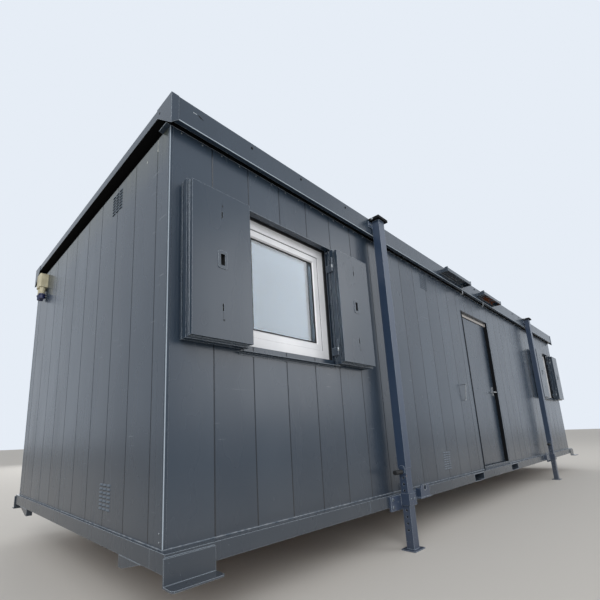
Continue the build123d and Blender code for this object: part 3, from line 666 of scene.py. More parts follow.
@dataclass
class Workbench:
    """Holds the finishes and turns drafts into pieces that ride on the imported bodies."""

    finishes: dict[str, Surface]
    made: dict[str, bpy.types.Material]
    pieces: list[str] = field(default_factory=list)

    @classmethod
    def stock(cls) -> "Workbench":
        """Make every finish once.

        Returns:
            The workbench with its finishes.
        """
        far = 20.0
        end, side, head, top, fascia = at.wall_end, at.wall_side, at.wall_head, at.roof_top, at.roof_side
        lining = Zone(Paint.LINING, x=(0.0, end - 0.045), y=(0.0, side - 0.045))
        # Painted shade: the window reveals are painted dark.
        window_reveal_painted_shade = Zone(
            Paint.REVEAL_SHADE, x=(3.430, 4.360), y=(side - 0.0445, side - 0.003), z=(1.45, 2.45)
        )
        # Painted highlight: a pale line on the nose of each corner bead.
        nose = Zone(Paint.WORN_EDGE, x=(end - 0.003, far), y=(side - 0.003, far))
        # Painted shade: the groove under the eaves is painted near black.
        eaves_painted_shade = Zone(Paint.DARK_GAP, y=(side + 0.0005, fascia - 0.0035), z=(head + 0.001, top - 0.001))
        # Painted highlight: a pale line along the fascia's hem.
        hem = Zone(Paint.WORN_EDGE, y=(fascia + 0.0004, far), z=(head - 0.001, head + 0.007))
        # Painted shade: the recess under the roof's end rails is painted near black.
        end_recess_painted_shade = Zone(Paint.DARK_GAP, x=(0.0, at.roof_end - 0.001), z=(0.0, top - 0.001))
        leg_cap = Zone(Paint.RUBBER, z=(top - 0.0245, far))
        edge_bar = Zone(Paint.RUBBER, x=(-0.470, -0.4515), y=(-far, 0.0075 - side), mirrored=False)
        # Painted shade: the door's reveal is painted dark.
        door_reveal_painted_shade = Zone(Paint.REVEAL_SHADE, y=(side - 0.0475, side - 0.003))
        pale_head = Zone(
            Paint.PALE_STOP, (-0.462, 0.568), (0.0240 - side, 0.0475 - side), (2.460, 2.520), False
        )
        hood_rust = Zone(Paint.RUST, (0.36, 0.80), (-1.684, -1.592), (2.836, 2.879), False, 90.0)
        finishes = (
            WallPaint("wall_sheet_paint", "wall_paint", zones=(lining, window_reveal_painted_shade)),
            PaintedSteel("folded_frame_paint", "frame_paint", chips=0.01),
            # Painted highlight: the louvres take a paler paint than the walls.
            PaintedSteel("vent_louvre_paint", "wall_paint", paint=Paint.CHALKED, roughness=0.40,
                         edge_mm=0.8, edge_wear_and_highlight=0.4),
            PaintedSteel("bracket_paint", "frame_paint", paint=Paint.LEG_BLUE, edge_wear_and_highlight=1.0, chips=0.04),
            PaintedSteel("wall_corner_paint", "wall_paint", zones=(nose,)),
            PaintedSteel("roof_rail_paint", "frame_paint", zones=(eaves_painted_shade, hem)),
            PaintedSteel("roof_end_paint", "frame_paint", zones=(end_recess_painted_shade,)),
            PaintedSteel("door_frame_paint", "frame_paint", zones=(door_reveal_painted_shade, pale_head, edge_bar)),
            PaintedSteel("door_leaf_paint", "frame_paint", paint=Paint.ANTHRACITE, wave_depth_mm=0.35),
            PaintedSteel("shutter_paint", "frame_paint", edge_mm=3.0, edge_wear_and_highlight=0.9),
            # The roof sheet is duller, with small rust spots.
            PaintedSteel("roof_paint", "frame_paint", roughness=0.42, rust=0.015),
            # The hoods have rusted through their paint in broad stains.
            PaintedSteel("hood_paint", "frame_paint", rust=0.06, rust_mm=90.0, edge_wear_and_highlight=1.0,
                         zones=(hood_rust,)),
            # The legs are bluer than the walls, scuffed by handling and chipped round their holes.
            PaintedSteel("jack_casing_paint", "leg_paint", paint=Paint.LEG_BLUE, roughness=0.30,
                         edge_wear_and_highlight=1.0, chips=0.015, zones=(leg_cap,)),
            PaintedSteel("jack_leg_paint", "leg_paint", paint=Paint.LEG_BLUE, roughness=0.34,
                         edge_wear_and_highlight=1.0, chips=0.06, rust=0.04),
            # Extruded uPVC: smooth, bright and white, with a faint film of dirt in broad patches.
            PlainSurface("upvc_extrusion", "white_upvc", Paint.UPVC, Paint.UPVC_SHADE, 0.30,
                         mottle=0.35, mottle_mm=240.0),
            # Extruded EPDM: black and dull.
            PlainSurface("epdm_rubber", None, Paint.RUBBER, Paint.DARK_GAP, 0.72),
            # Electroplated zinc: grey metal whose shine varies in small flecks.
            PlainSurface("zinc_plate", "zinc_steel", Paint.ZINC, Paint.ZINC_DULL, 0.36, 1.0, 14.0, 0.6),
            # Satin anodised aluminium: a pale even metal.
            PlainSurface("satin_aluminium", "satin_handle", Paint.SATIN, Paint.ZINC, 0.28, 1.0),
            # Film faced plywood: brown, with its grain along the cabin.
            PlainSurface("film_faced_plywood", "floor_board", Paint.PLYWOOD, Paint.PLYWOOD_DARK, 0.50,
                         mottle=0.7, grain_mm=12.0, grain_stretch=(0.08, 1.0, 1.0)),
            # Painted ceiling board: matt and nearly white.
            PlainSurface("ceiling_board", "lining_board", Paint.LINING, Paint.UPVC_SHADE, 0.6),
            # Moulded plastics of the inlet: cream gone grey in patches, and dark blue caps.
            PlainSurface("weathered_cream_plastic", "cream_plastic", Paint.CREAM, Paint.CREAM_GRIME, 0.5,
                         mottle=0.5),
            PlainSurface("blue_moulded_plastic", "blue_plastic", Paint.CAP_BLUE, Paint.RUBBER, 0.4),
            # Gunned mastic: a grey line with dark patches, and old pale runs.
            PlainSurface("wall_mastic", "frame_paint", Paint.MASTIC, Paint.CHALKED, 0.55, 0.0, 40.0, 0.9),
            PlainSurface("old_mastic", "lining_board", Paint.PALE_DRIP, Paint.MASTIC, 0.6, 0.0, 12.0, 0.5),
            # Painted shade: the unlit inside of slots, holes and pockets.
            PlainSurface("dark_recess", None, Paint.DARK_GAP, Paint.RUBBER, 0.9),
            FloatGlass("float_glass", "glass"),
            # The studio's floor: plain pale card.
            PlainSurface("pale_floor_card", None, Paint.FLOOR, Paint.FLOOR, 0.85, mottle=0.0),
        )
        return cls(
            {finish.name: finish for finish in finishes},
            {finish.name: finish.material() for finish in finishes},
        )

    def piece(self, draft: Draft, name: str, finish: str, body: str = "cabin") -> bpy.types.Object:
        """Turn a draft into a finished piece on its body.

        Args:
            draft: The piece's mesh in the making.
            name: The piece's name.
            finish: The name of its finish.
            body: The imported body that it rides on.

        Returns:
            The piece.
        """
        sharp_from = math.radians(38.0)
        bmesh.ops.recalc_face_normals(draft.shape, faces=draft.shape.faces)
        mesh = bpy.data.meshes.new(name)
        draft.shape.to_mesh(mesh)
        draft.shape.free()
        mesh.shade_smooth()
        mesh.set_sharp_from_angle(angle=sharp_from)
        mesh.materials.append(self.made[finish])
        piece = bpy.data.objects.new(name, mesh)
        bpy.context.scene.collection.objects.link(piece)
        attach(piece, body)
        self.pieces.append(name)
        return piece


@dataclass
class SubAssembly:
    """One group of pieces that is made at the workbench."""

    bench: Workbench

    def build(self) -> list[str]:
        """Make the group.

        Returns:
            The names of what it made.
        """
        before = len(self.bench.pieces)
        self.make()
        return self.bench.pieces[before:]

    def make(self) -> None:
        """Each group makes its own pieces here."""


@dataclass
class CadDressing(SubAssembly):
    """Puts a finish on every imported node, by the start of its name."""

    starts: dict[str, tuple[str, ...]] = field(default_factory=lambda: {
        "wall_sheet_paint": ("front_wall", "rear_wall", "end_wall"),
        "roof_rail_paint": ("roof_rail_front", "roof_rail_rear"),
        "roof_end_paint": ("roof_rail",),
        "roof_paint": ("roof_sheet",),
        "hood_paint": ("roof_hoods",),
        "door_frame_paint": ("door_frame",),
        "door_leaf_paint": ("door_leaf",),
        "folded_frame_paint": ("shutter_fixings",),
        "shutter_paint": ("shutter",),
        "jack_casing_paint": ("jack_casings",),
        "jack_leg_paint": ("jack_legs",),
        "bracket_paint": ("jack_brackets", "tie_lugs"),
        "zinc_plate": ("jack_pins", "grab_handle"),
        "satin_aluminium": ("door_handle",),
        "upvc_extrusion": ("window_frames", "window_sashes"),
        "float_glass": ("window_glass",),
        "film_faced_plywood": ("floor_deck",),
        "ceiling_board": ("ceiling_panel",),
        "weathered_cream_plastic": ("power_inlet",),
        "blue_moulded_plastic": ("inlet_caps",),
    })

    def make(self) -> None:
        """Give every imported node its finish, which is the frame's paint where none is named."""
        for name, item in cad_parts.items():
            named = (finish for finish, starts in self.starts.items() if name.startswith(starts))
            item.data.materials.clear()
            item.data.materials.append(self.bench.made[next(named, "folded_frame_paint")])
            self.bench.pieces.append(name)


@dataclass
class WallVents(SubAssembly):
    """Panels of small pressed louvres, a high and a low one on each of the four walls."""

    columns: int = 3
    front_rows: int = 8
    end_rows: int = 7
    column_pitch: float = 0.060
    row_pitch: float = 0.0235
    width: float = 0.050
    height: float = 0.013
    proud: float = 0.005
    slot_height: float = 0.0035
    slot_thick: float = 0.0005
    front: Outline = ((-1.562, 2.645), (-1.544, 0.613))
    end: Outline = ((-0.754, 2.664), (-0.784, 0.608))

    def make(self) -> None:
        """Press all the louvres."""
        panels = []
        for (x, z), side in product(self.front, SIGNS):
            panels.append((Out.along_y(side), self.front_rows, (x, side * at.wall_side, z)))
        for (y, z), end in product(self.end, SIGNS):
            panels.append((Out.along_x(end), self.end_rows, (end * at.wall_end, y, z)))
        hoods, slots = Draft(), Draft()
        for out, rows, centre in panels:
            away = Vector(out.value)
            across = away.cross(Z)
            for column, row in product(range(self.columns), range(rows)):
                middle = Vector(centre) + across * (column - (self.columns - 1) / 2) * self.column_pitch
                middle.z += (row - (rows - 1) / 2) * self.row_pitch
                self.louvre(hoods, middle, away, across)
                # Under each louvre a thin dark block on the wall is painted shade in its slot.
                foot = middle - Z * (self.height / 2 + self.slot_height)
                reach = across * self.width * 0.43
                slots.block(foot - reach, foot + reach + away * self.slot_thick + Z * self.slot_height, 0.1)
        self.bench.piece(hoods, "vent_louvres", "vent_louvre_paint")
        self.bench.piece(slots, "vent_slots", "dark_recess")

    def louvre(self, draft: Draft, middle: Vector, away: Vector, across: Vector) -> None:
        """Press one louvre out of the sheet, closed at its two ends.

        Args:
            draft: The mesh that it goes into.
            middle: The louvre's middle on the wall.
            away: The way out of the wall.
            across: The way along the wall.
        """
        bed = -0.0004
        rings = []
        for part, swell in ((-1.0, 0.03), (-0.86, 0.75), (-0.6, 1.0), (0.6, 1.0), (0.86, 0.75), (1.0, 0.03)):
            base = middle + across * self.width / 2 * part
            reach = self.proud * swell
            levels = ((0.5, bed), (0.2, reach * 0.6), (-0.25, reach), (-0.5, reach), (-0.5, bed))
            rings.append([base + Z * self.height * rise + away * out for rise, out in levels])
        draft.skin(rings)


@dataclass
class WallTrim(SubAssembly):
    """Corner beads, mastic at the foot of the walls, screws, and old runs on the left end."""

    bead_leg: float = 0.020
    bead_proud: float = 0.0012
    bead_nose: float = 0.0008
    bead_ease: float = 0.001
    bead_over_foot: float = 0.004
    doorway: Pair = (-0.467, 0.591)
    # The mastic's radius and the length of half a ripple.
    mastic_mm: Pair = (4.5, 24.0)
    screw_mm: float = 5.0
    screw_pitch: float = 0.1524
    screw_drop: float = 0.012
    clear_of_corner: float = 0.05
    end_screws_y: float = 1.489
    end_screws_z: Pair = (0.460, 0.500)
    # A run's place along the wall, its head, its foot and half its width at the foot.
    runs: tuple = ((-1.372, 2.783, 2.695, 0.0030), (-1.226, 2.718, 2.704, 0.0045))
    run_thick: float = 0.0005

    def make(self) -> None:
        """Make the walls' trim."""
        self.corners()
        self.foot_mastic()
        self.screws()
        self.drips()

    def corners(self) -> None:
        """Fold a slim bead round each upright corner."""
        beads = Draft()
        leg, proud, nose, ease = self.bead_leg, self.bead_proud, self.bead_nose, self.bead_ease
        plan = (
            (0.0, -leg), (proud, ease - leg), (proud, -nose), (proud - nose / 2, proud - nose / 2),
            (-nose, proud), (ease - leg, proud), (-leg, 0.0), (0.0, 0.0),
        )
        for end, side in CORNERS:
            beads.skin([
                [Vector((end * (at.wall_end + x), side * (at.wall_side + y), z)) for x, y in plan]
                for z in (at.wall_foot + self.bead_over_foot, at.wall_head - ease)
            ])
        self.bench.piece(beads, "wall_corner_beads", "wall_corner_paint")

    def foot_mastic(self) -> None:
        """Run mastic along the joint between the wall sheets and the base rails."""
        line = Draft()
        end, side, level = at.wall_end, at.wall_side, at.wall_foot + 0.001
        left, right = self.doorway
        joints = (
            (-end, -side, left, -side), (right, -side, end, -side), (-end, side, end, side),
            (-end, -side, -end, side), (end, -side, end, side),
        )
        for x0, y0, x1, y1 in joints:
            line.bead((x0, y0, level), (x1, y1, level), *self.mastic_mm)
        self.bench.piece(line, "wall_foot_mastic", "wall_mastic")

    def screws(self) -> None:
        """Drive a row of small screws along the long walls' heads, and two at each end wall's foot."""
        screws = Draft()
        count = int(at.wall_end / self.screw_pitch)
        for side, index in product(SIGNS, range(-count, count + 1)):
            x = (index + 0.5) * self.screw_pitch
            if abs(x) < at.wall_end - self.clear_of_corner:
                foot = (x, side * at.wall_side, at.wall_head - self.screw_drop)
                screws.pan_screw(foot, Out.along_y(side), self.screw_mm)
        for (end, side), level in product(CORNERS, self.end_screws_z):
            foot = (end * at.wall_end, side * self.end_screws_y, level)
            screws.pan_screw(foot, Out.along_x(end), self.screw_mm)
        self.bench.piece(screws, "wall_screws", "zinc_plate")

    def drips(self) -> None:
        """Leave the pale runs of old mastic, which end in a drop, on the left end wall."""
        runs = Draft()
        face = -at.wall_end
        for y, top, low, half in self.runs:
            middle = (top + low) / 2
            outline = ((-0.6, top), (0.6, top), (0.45, middle), (1.0, low + half), (0.6, low),
                       (-0.6, low), (-1.0, low + half), (-0.45, middle))
            runs.skin([
                [Vector((x, y + part * half * scale, z)) for part, z in outline]
                for x, scale in ((face, 1.0), (face - self.run_thick, 0.7))
            ])
        self.bench.piece(runs, "end_wall_drips", "old_mastic")


@dataclass
class RoofTrim(SubAssembly):
    """Bolts and two holes in the fascias, and the ribs, mastic and rivets on the roof."""

    bolts: tuple[float, ...] = (-4.279, -3.765, -3.169, 0.031, 1.929, 2.319)
    bolts_z: float = 2.915
    bolt_mm: float = 14.0
    # The holes are thin dark marks of painted shade on the steel, at its front left corner.
    punch: Outline = ((-4.7285, 2.906), (-4.7105, 2.906), (-4.6804, 2.888), (-4.7065, 2.891))
    lip: Outline = ((-4.7585, 2.900), (-4.7305, 2.906))
    lip_proud: float = 0.0012
    end_hole: Pair = (-1.447, 2.905)
    end_hole_radius: float = 0.007
    end_face_over_rail: float = 0.004
    mark_thick: float = 0.0004
    flange: float = 0.090
    rib_pitch: float = 0.6096
    rib_rise: float = 0.0034
    rib_halves: Pair = (0.014, 0.007)
    rib_sunk: float = 0.0002
    # The mastic's radius and the length of half a ripple.
    mastic_mm: Pair = (2.6, 30.0)
    mastic_lap: float = 0.001
    rivet: Outline = ((0.006, -0.0004), (0.0056, 0.0003), (0.003, 0.0008))
    rivet_pitch: float = 0.4064
    rivet_insets: Pair = (0.040, 0.060)

    def make(self) -> None:
        """Make the roof's trim."""
        self.fascias()
        self.roof_laps()
        self.rivets()

    def fascias(self) -> None:
        """Seat the bolts, and mark in painted shade a punched hole with a pale lip at the front and a round
        hole at the end.
        """
        bolts, hole, lip = Draft(), Draft(), Draft()
        for side, x in product(SIGNS, self.bolts):
            bolts.hex_bolt((x, side * at.roof_side, self.bolts_z), Out.along_y(side), self.bolt_mm)
        face, thin, radius = -at.roof_side, self.mark_thick, self.end_hole_radius
        hole.skin([[Vector((x, y, z)) for x, z in self.punch] for y in (face, face - thin)])
        end_face = -at.roof_end - self.end_face_over_rail
        hole.turned((end_face, *self.end_hole), Out.LEFT, ((radius, 0.0), (radius, thin)))
        (left, low), (right, high) = self.lip
        lip.block((left, face, low), (right, face - self.lip_proud, high))
        self.bench.piece(bolts, "fascia_bolts", "epdm_rubber")
        self.bench.piece(hole, "fascia_holes", "dark_recess")
        self.bench.piece(lip, "fascia_hole_lip", "zinc_plate")

    def roof_laps(self) -> None:
        """Lay the low ribs of the roof sheet and the mastic where it meets its rails."""
        ribs, mastic = Draft(), Draft()
        low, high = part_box("roof_sheet")
        inner, bed = at.wall_side - self.flange, high.z - self.rib_sunk
        foot, head = self.rib_halves
        section = ((-foot, 0.0), (-head, self.rib_rise), (head, self.rib_rise), (foot, 0.0))
        count = int(high.x / self.rib_pitch)
        for index in range(-count, count + 1):
            middle = index * self.rib_pitch
            ribs.skin([[Vector((middle + x, y, bed + z)) for x, z in section] for y in (-inner, inner)])
        lap, level = self.mastic_lap, high.z + self.mastic_lap / 2
        for side in SIGNS:
            x, y = side * (high.x - lap), side * (inner - lap)
            mastic.bead((low.x, y, level), (high.x, y, level), *self.mastic_mm)
            mastic.bead((x, -inner, level), (x, inner, level), *self.mastic_mm)
        self.bench.piece(ribs, "roof_ribs", "roof_paint")
        self.bench.piece(mastic, "roof_mastic", "wall_mastic")

    def rivets(self) -> None:
        """Set flat rivets along the top flanges of the four roof rails."""
        rivets = Draft()
        pitch, (from_side, from_end) = self.rivet_pitch, self.rivet_insets
        along, across = int(at.wall_end / pitch), int(at.wall_side / pitch)
        for way in SIGNS:
            x, y = way * (at.wall_end - from_end), way * (at.wall_side - from_side)
            feet = [(index * pitch, y) for index in range(-along, along + 1)]
            feet += [(x, index * pitch) for index in range(-across, across + 1)]
            for foot in feet:
                rivets.turned((*foot, at.roof_top), Out.UP, self.rivet, 12)
        self.bench.piece(rivets, "roof_rivets", "zinc_plate")


@dataclass
class Windows(SubAssembly):
    """Double glazing with spacers and gaskets, seals round sash and frame, and inside handles."""

    frame_face: float = 0.072
    sash_face: float = 0.058
    pane: float = 0.004
    spacer_reach: float = 0.010
    # The handle's rose, neck and grip: half the width, the nearest and farthest place from the sash,
    # the lowest and highest from its middle, and the ease of the edges in millimetres.
    handle_parts: tuple = (
        (0.013, 0.0, 0.010, -0.045, 0.045, 2.0),
        (0.008, 0.010, 0.038, -0.008, 0.008, 2.0),
        (0.009, 0.036, 0.048, -0.115, 0.010, 3.0),
    )

    def make(self) -> None:
        """Glaze and seal both windows."""
        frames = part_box("window_frames")
        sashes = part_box("window_sashes")
        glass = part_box("window_glass")
        outer, inner, front, pane = glass[0].y, glass[1].y, frames[0].y, self.pane
        lip = ((0.0, outer), (0.009, outer), (0.008, outer - 0.0025), (0.003, outer - 0.005),
               (0.0, outer - 0.005))
        fillet = ((0.0, front), (0.007, front), (0.004, front - 0.002), (0.0, front - 0.006))
        panes, spacers, gaskets, seals, handles = (Draft() for _ in range(5))
        for end in SIGNS:
            centre = end * (frames[1].x - at.window_half)
            reach = at.window_half
            rims = []
            for face, box in ((0.0, frames), (self.frame_face, sashes), (self.sash_face, glass)):
                reach -= face
                rims.append(((centre - reach, box[0].z), (centre + reach, box[1].z)))
            whole, sash, light = rims
            for y in (outer, inner - pane):
                panes.block((light[0][0], y, light[0][1]), (light[1][0], y + pane, light[1][1]), 0.3)
            spacers.loop(*light, self.bar(self.spacer_reach, outer + pane, inner - pane))
            gaskets.loop(*light, lip)
            gaskets.loop(*light, self.bar(0.006, inner, inner + 0.002))
            gaskets.loop(*sash, self.bar(0.003, sashes[0].y - 0.0012, sashes[0].y))
            seals.loop(*whole, fillet)
            self.handle(handles, end * (sashes[1].x - self.sash_face / 2), sashes)
        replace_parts(self.bench.piece(panes, "glass_panes", "float_glass"), "window_glass")
        self.bench.piece(spacers, "glazing_spacers", "satin_aluminium")
        self.bench.piece(gaskets, "glazing_gaskets", "epdm_rubber")
        self.bench.piece(seals, "frame_sealant", "epdm_rubber")
        self.bench.piece(handles, "window_handles", "upvc_extrusion")

    def bar(self, reach: float, front: float, back: float) -> Outline:
        """A plain rectangular section that reaches inward, from front to back."""
        return (0.0, front), (reach, front), (reach, back), (0.0, back)

    def handle(self, draft: Draft, x: float, sashes: tuple[Vector, Vector]) -> None:
        """Fit the white handle on the room side of one sash.

        Args:
            draft: The mesh that it goes into.
            x: Its place along the wall.
            sashes: The box of the sashes.
        """
        y, z = sashes[1].y, (sashes[0].z + sashes[1].z) / 2
        for half, near, far, low, high, ease_mm in self.handle_parts:
            draft.block((x - half, y + near, z + low), (x + half, y + far, z + high), ease_mm)


@dataclass
class ShutterHinges(SubAssembly):
    """Bright sleeves, pin tips and track bolts on the fixed halves of the shutter hinges."""

    axis_y: float = -1.585
    levels: Pair = (1.593, 2.288)
    sleeve: Outline = ((0.0072, -0.029), (0.0078, -0.0282), (0.0078, -0.0028), (0.0072, -0.002))
    tip: Outline = ((0.0038, 0.059), (0.0038, 0.0612), (0.0028, 0.0626), (0.0012, 0.0632))
    # How far a track bolt sits beside its hinge, and how far out from the wall.
    track: Pair = (0.020, 0.004)
    track_levels: Pair = (1.443, 2.408)
    track_bolt_mm: float = 10.0

    def make(self) -> None:
        """Fit all eight hinges."""
        bright, ends = Draft(), Draft()
        beside, deep = self.track
        for end, hand in CORNERS:
            x = end * at.window_x + hand * at.window_half
            for level in self.levels:
                bright.turned((x, self.axis_y, level), Out.UP, self.sleeve)
                bright.turned((x, self.axis_y, level), Out.UP, self.tip, 12)
            for level in self.track_levels:
                foot = (x + hand * beside, -at.wall_side - deep, level)
                ends.hex_bolt(foot, Out.FRONT, self.track_bolt_mm)
        self.bench.piece(bright, "shutter_hinge_sleeves", "zinc_plate")
        self.bench.piece(ends, "shutter_track_bolts", "folded_frame_paint")


@dataclass
class ShutterFittings(SubAssembly):
    """What each shutter carries on its front tray: painted shade in the cup of its pull, its bolt slots and
    holes.
    """

    face: float = -1.634
    pull_from_axis: float = 0.2305
    pull_z: float = 1.9575
    slot_rise: float = 0.292
    # Half the width, the depth and half the height of the two kinds of pocket.
    cup_size: tuple[float, float, float] = (0.016, 0.022, 0.036)
    slot_size: tuple[float, float, float] = (0.005, 0.008, 0.0225)
    lining: float = 0.0008
    hole: Outline = ((0.0055, 0.0), (0.0055, 0.0003))
    hole_shift: float = 0.004
    hole_levels: Pair = (2.310, 1.590)
    slits: Outline = ((1.600, 1.640), (2.272, 2.300))
    slit_half: float = 0.0006
    slit_thick: float = 0.0003

    def make(self) -> None:
        """Fit out the four shutters."""
        for end, hand in CORNERS:
            body = f"shutter_{END_NAMES[end]}_{END_NAMES[hand]}"
            x = end * at.window_x + hand * (at.window_half + self.pull_from_axis)
            cup, holes = Draft(), Draft()
            self.line_cup(cup, x)
            for way in SIGNS:
                self.line_slot(holes, x, self.pull_z + way * self.slot_rise)
            for level in self.hole_levels:
                holes.turned((x + self.hole_shift, self.face, level), Out.FRONT, self.hole)
            for low, high in self.slits:
                front = self.face - self.slit_thick
                holes.block((x - self.slit_half, self.face, low), (x + self.slit_half, front, high), 0.05)
            self.bench.piece(cup, f"{body}_pull_cup", "dark_recess", body)
            self.bench.piece(holes, f"{body}_bolt_slots", "dark_recess", body)

    def line_cup(self, draft: Draft, x: float) -> None:
        """Line the cup of a pull with painted shade: a back, two cheeks, a floor and a roof.

        Args:
            draft: The mesh that it goes into.
            x: The cup's middle along the wall.
        """
        (half_x, deep, half_z), thick = self.cup_size, self.lining
        face, back, z = self.face, self.face + deep, self.pull_z
        front = back - thick
        draft.block((x - half_x, front, z - half_z), (x + half_x, back, z + half_z), 0.2)
        for way in SIGNS:
            wall, shelf, inside = x + way * half_x, z + way * half_z, half_x - thick
            draft.block((wall, face, z - half_z), (wall - way * thick, front, z + half_z), 0.2)
            draft.block((x - inside, face, shelf), (x + inside, front, shelf - way * thick), 0.2)

    def line_slot(self, draft: Draft, x: float, z: float) -> None:
        """Line a bolt's slot with painted shade: a back and two cheeks.

        Args:
            draft: The mesh that it goes into.
            x: The slot's middle along the wall.
            z: Its level.
        """
        (half_x, deep, half_z), thick = self.slot_size, self.lining
        face, back, cheek = self.face + thick / 4, self.face + deep, thick * 3 / 4
        draft.block((x - half_x, back - thick, z - half_z), (x + half_x, back, z + half_z), 0.2)
        for way in SIGNS:
            wall = x + way * half_x
            draft.block((wall, face, z - half_z), (wall - way * cheek, back - thick, z + half_z), 0.1)


@dataclass
class DoorFittings(SubAssembly):
    """The seal in the door's rebate, the lock and its screws, the viewer and the hinge pin tips."""

    stops_x: Pair = (-0.452, 0.558)
    stops_z: Pair = (0.462, 2.465)
    seal_y: Pair = (-1.439, -1.436)
    seal_width: float = 0.012
    plate_faces: Pair = (-1.484, -1.432)
    plate_screws: Pair = (1.400, 1.511)
    plate_screw_mm: float = 3.6
    lever_x: float = 0.490
    lock_z: float = 1.410
    barrel: Outline = ((0.0088, 0.0), (0.0088, 0.0022), (0.0080, 0.0028))
    # Half the width, the lowest and highest place from the lock's middle, and the nearest and
    # farthest from the plate.
    barrel_foot: tuple = (0.005, -0.020, -0.004, 0.0, 0.0024)
    keyway: tuple = (0.0008, -0.005, 0.005, 0.0028, 0.0031)
    leaf_face: float = -1.476
    viewer: Pair = (-0.099, 1.469)
    viewer_rim: Outline = (
        (0.0110, 0.0), (0.0110, 0.0016), (0.0090, 0.0026), (0.0062, 0.0026), (0.0058, 0.0006)
    )
    spare_screw: Pair = (-0.073, 1.5105)
    spare_screw_mm: float = 6.0
    hinge: Pair = (-0.442, -1.4853)
    hinge_tops: tuple[float, float, float] = (0.776, 1.5225, 2.269)
    pin_tip: Outline = ((0.0048, -0.001), (0.0048, 0.0015), (0.0036, 0.0032), (0.0014, 0.0040))

    def make(self) -> None:
        """Fit out the door."""
        self.seal()
        self.lock()
        self.viewer_and_tips()

    def seal(self) -> None:
        """Line the stops with a rubber seal that the closed leaf just misses."""
        seal = Draft()
        (left, right), (low, high) = self.stops_x, self.stops_z
        (front, back), wide = self.seal_y, self.seal_width
        for x, way in ((left, 1), (right, -1)):
            seal.block((x, front, low), (x + way * wide, back, high), 1.0)
        seal.block((left + wide, front, high), (right - wide, back, high - wide), 1.0)
        self.bench.piece(seal, "door_seal", "epdm_rubber")

    def lock(self) -> None:
        """Fit the lock cylinder and the screws of the handle's two plates."""
        bright, dark = Draft(), Draft()
        x, z = self.lever_x, self.lock_z
        for face, out in zip(self.plate_faces, (Out.FRONT, Out.REAR)):
            away = out.value[1]
            bright.turned((x, face, z), out, self.barrel, 20)
            # The barrel's foot is bright metal; the keyway is a thin dark block of painted shade.
            for draft, (half, low, high, near, far), ease in (
                (bright, self.barrel_foot, 0.8), (dark, self.keyway, 0.05)
            ):
                draft.block((x - half, face + away * near, z + low),
                            (x + half, face + away * far, z + high), ease)
            for level in self.plate_screws:
                bright.pan_screw((x, face, level), out, self.plate_screw_mm)
        self.bench.piece(bright, "door_lock", "satin_aluminium", "door")
        self.bench.piece(dark, "door_keyholes", "dark_recess", "door")

    def viewer_and_tips(self) -> None:
        """Fit the viewer with the screw above it, and the tips of the three hinge pins."""
        marks, tips = Draft(), Draft()
        (view_x, view_z), (screw_x, screw_z) = self.viewer, self.spare_screw
        marks.turned((view_x, self.leaf_face, view_z), Out.FRONT, self.viewer_rim, 20)
        marks.pan_screw((screw_x, self.leaf_face, screw_z), Out.FRONT, self.spare_screw_mm)
        for level in self.hinge_tops:
            tips.turned((*self.hinge, level), Out.UP, self.pin_tip, 12)
        self.bench.piece(marks, "door_viewer", "folded_frame_paint", "door")
        self.bench.piece(tips, "door_hinge_tips", "zinc_plate")


@dataclass
class HoodFittings(SubAssembly):
    """Hooks below the front fascia, and the end ears and welds of the two hoods on it."""

    hooks: Pair = (-0.463, 0.347)
    hook_half: Pair = (0.010, 0.0015)
    bend: Outline = ((-1.5835, 2.790), (-1.5835, 2.748), (-1.580, 2.736), (-1.571, 2.729),
                     (-1.561, 2.733), (-1.557, 2.746))
    length: float = 0.775
    ear_thick: float = 0.003
    ear: Outline = ((0.0, -0.0005), (0.0, 0.015), (0.004, 0.018), (0.030, 0.018), (0.062, -0.0005))
    weld_proud: float = 0.001
    weld_short: float = 0.002

    def make(self) -> None:
        """Make the ears, hooks and welds."""
        hooks, welds, ears = Draft(), Draft(), Draft()
        for x in self.hooks:
            self.hook(hooks, x)
        low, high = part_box("roof_hoods")
        face, short = -at.roof_side - self.weld_proud, self.weld_short
        for start in (low.x, high.x - self.length):
            end = start + self.length
            welds.bead((start + short, face, high.z), (end - short, face, high.z), 3.0)
            for x in (start, end):
                welds.bead((x, face, low.z + short), (x, face, high.z - short), 2.6)
            for x in (start, end - self.ear_thick):
                ears.skin([
                    [Vector((px, low.y + reach, high.z + rise)) for reach, rise in self.ear]
                    for px in (x, x + self.ear_thick)
                ])
        self.bench.piece(ears, "hood_end_ears", "hood_paint")
        self.bench.piece(hooks, "eaves_hooks", "zinc_plate")
        self.bench.piece(welds, "hood_welds", "hood_paint")

    def hook(self, draft: Draft, x: float) -> None:
        """Bend one strap hook down behind the hem and back towards the wall.

        Args:
            draft: The mesh that it goes into.
            x: Its place along the fascia.
        """
        points = [Vector((x, y, z)) for y, z in self.bend]
        half_width, half_thick = self.hook_half
        rings = []
        for index, point in enumerate(points):
            ahead = points[min(index + 1, len(points) - 1)] - points[max(index - 1, 0)]
            beside = X.cross(ahead.normalized()) * half_thick
            rings.append([
                point + X * half_width * right + beside * up
                for right, up in ((-1, -1), (1, -1), (1, 1), (-1, 1))
            ])
        draft.skin(rings)


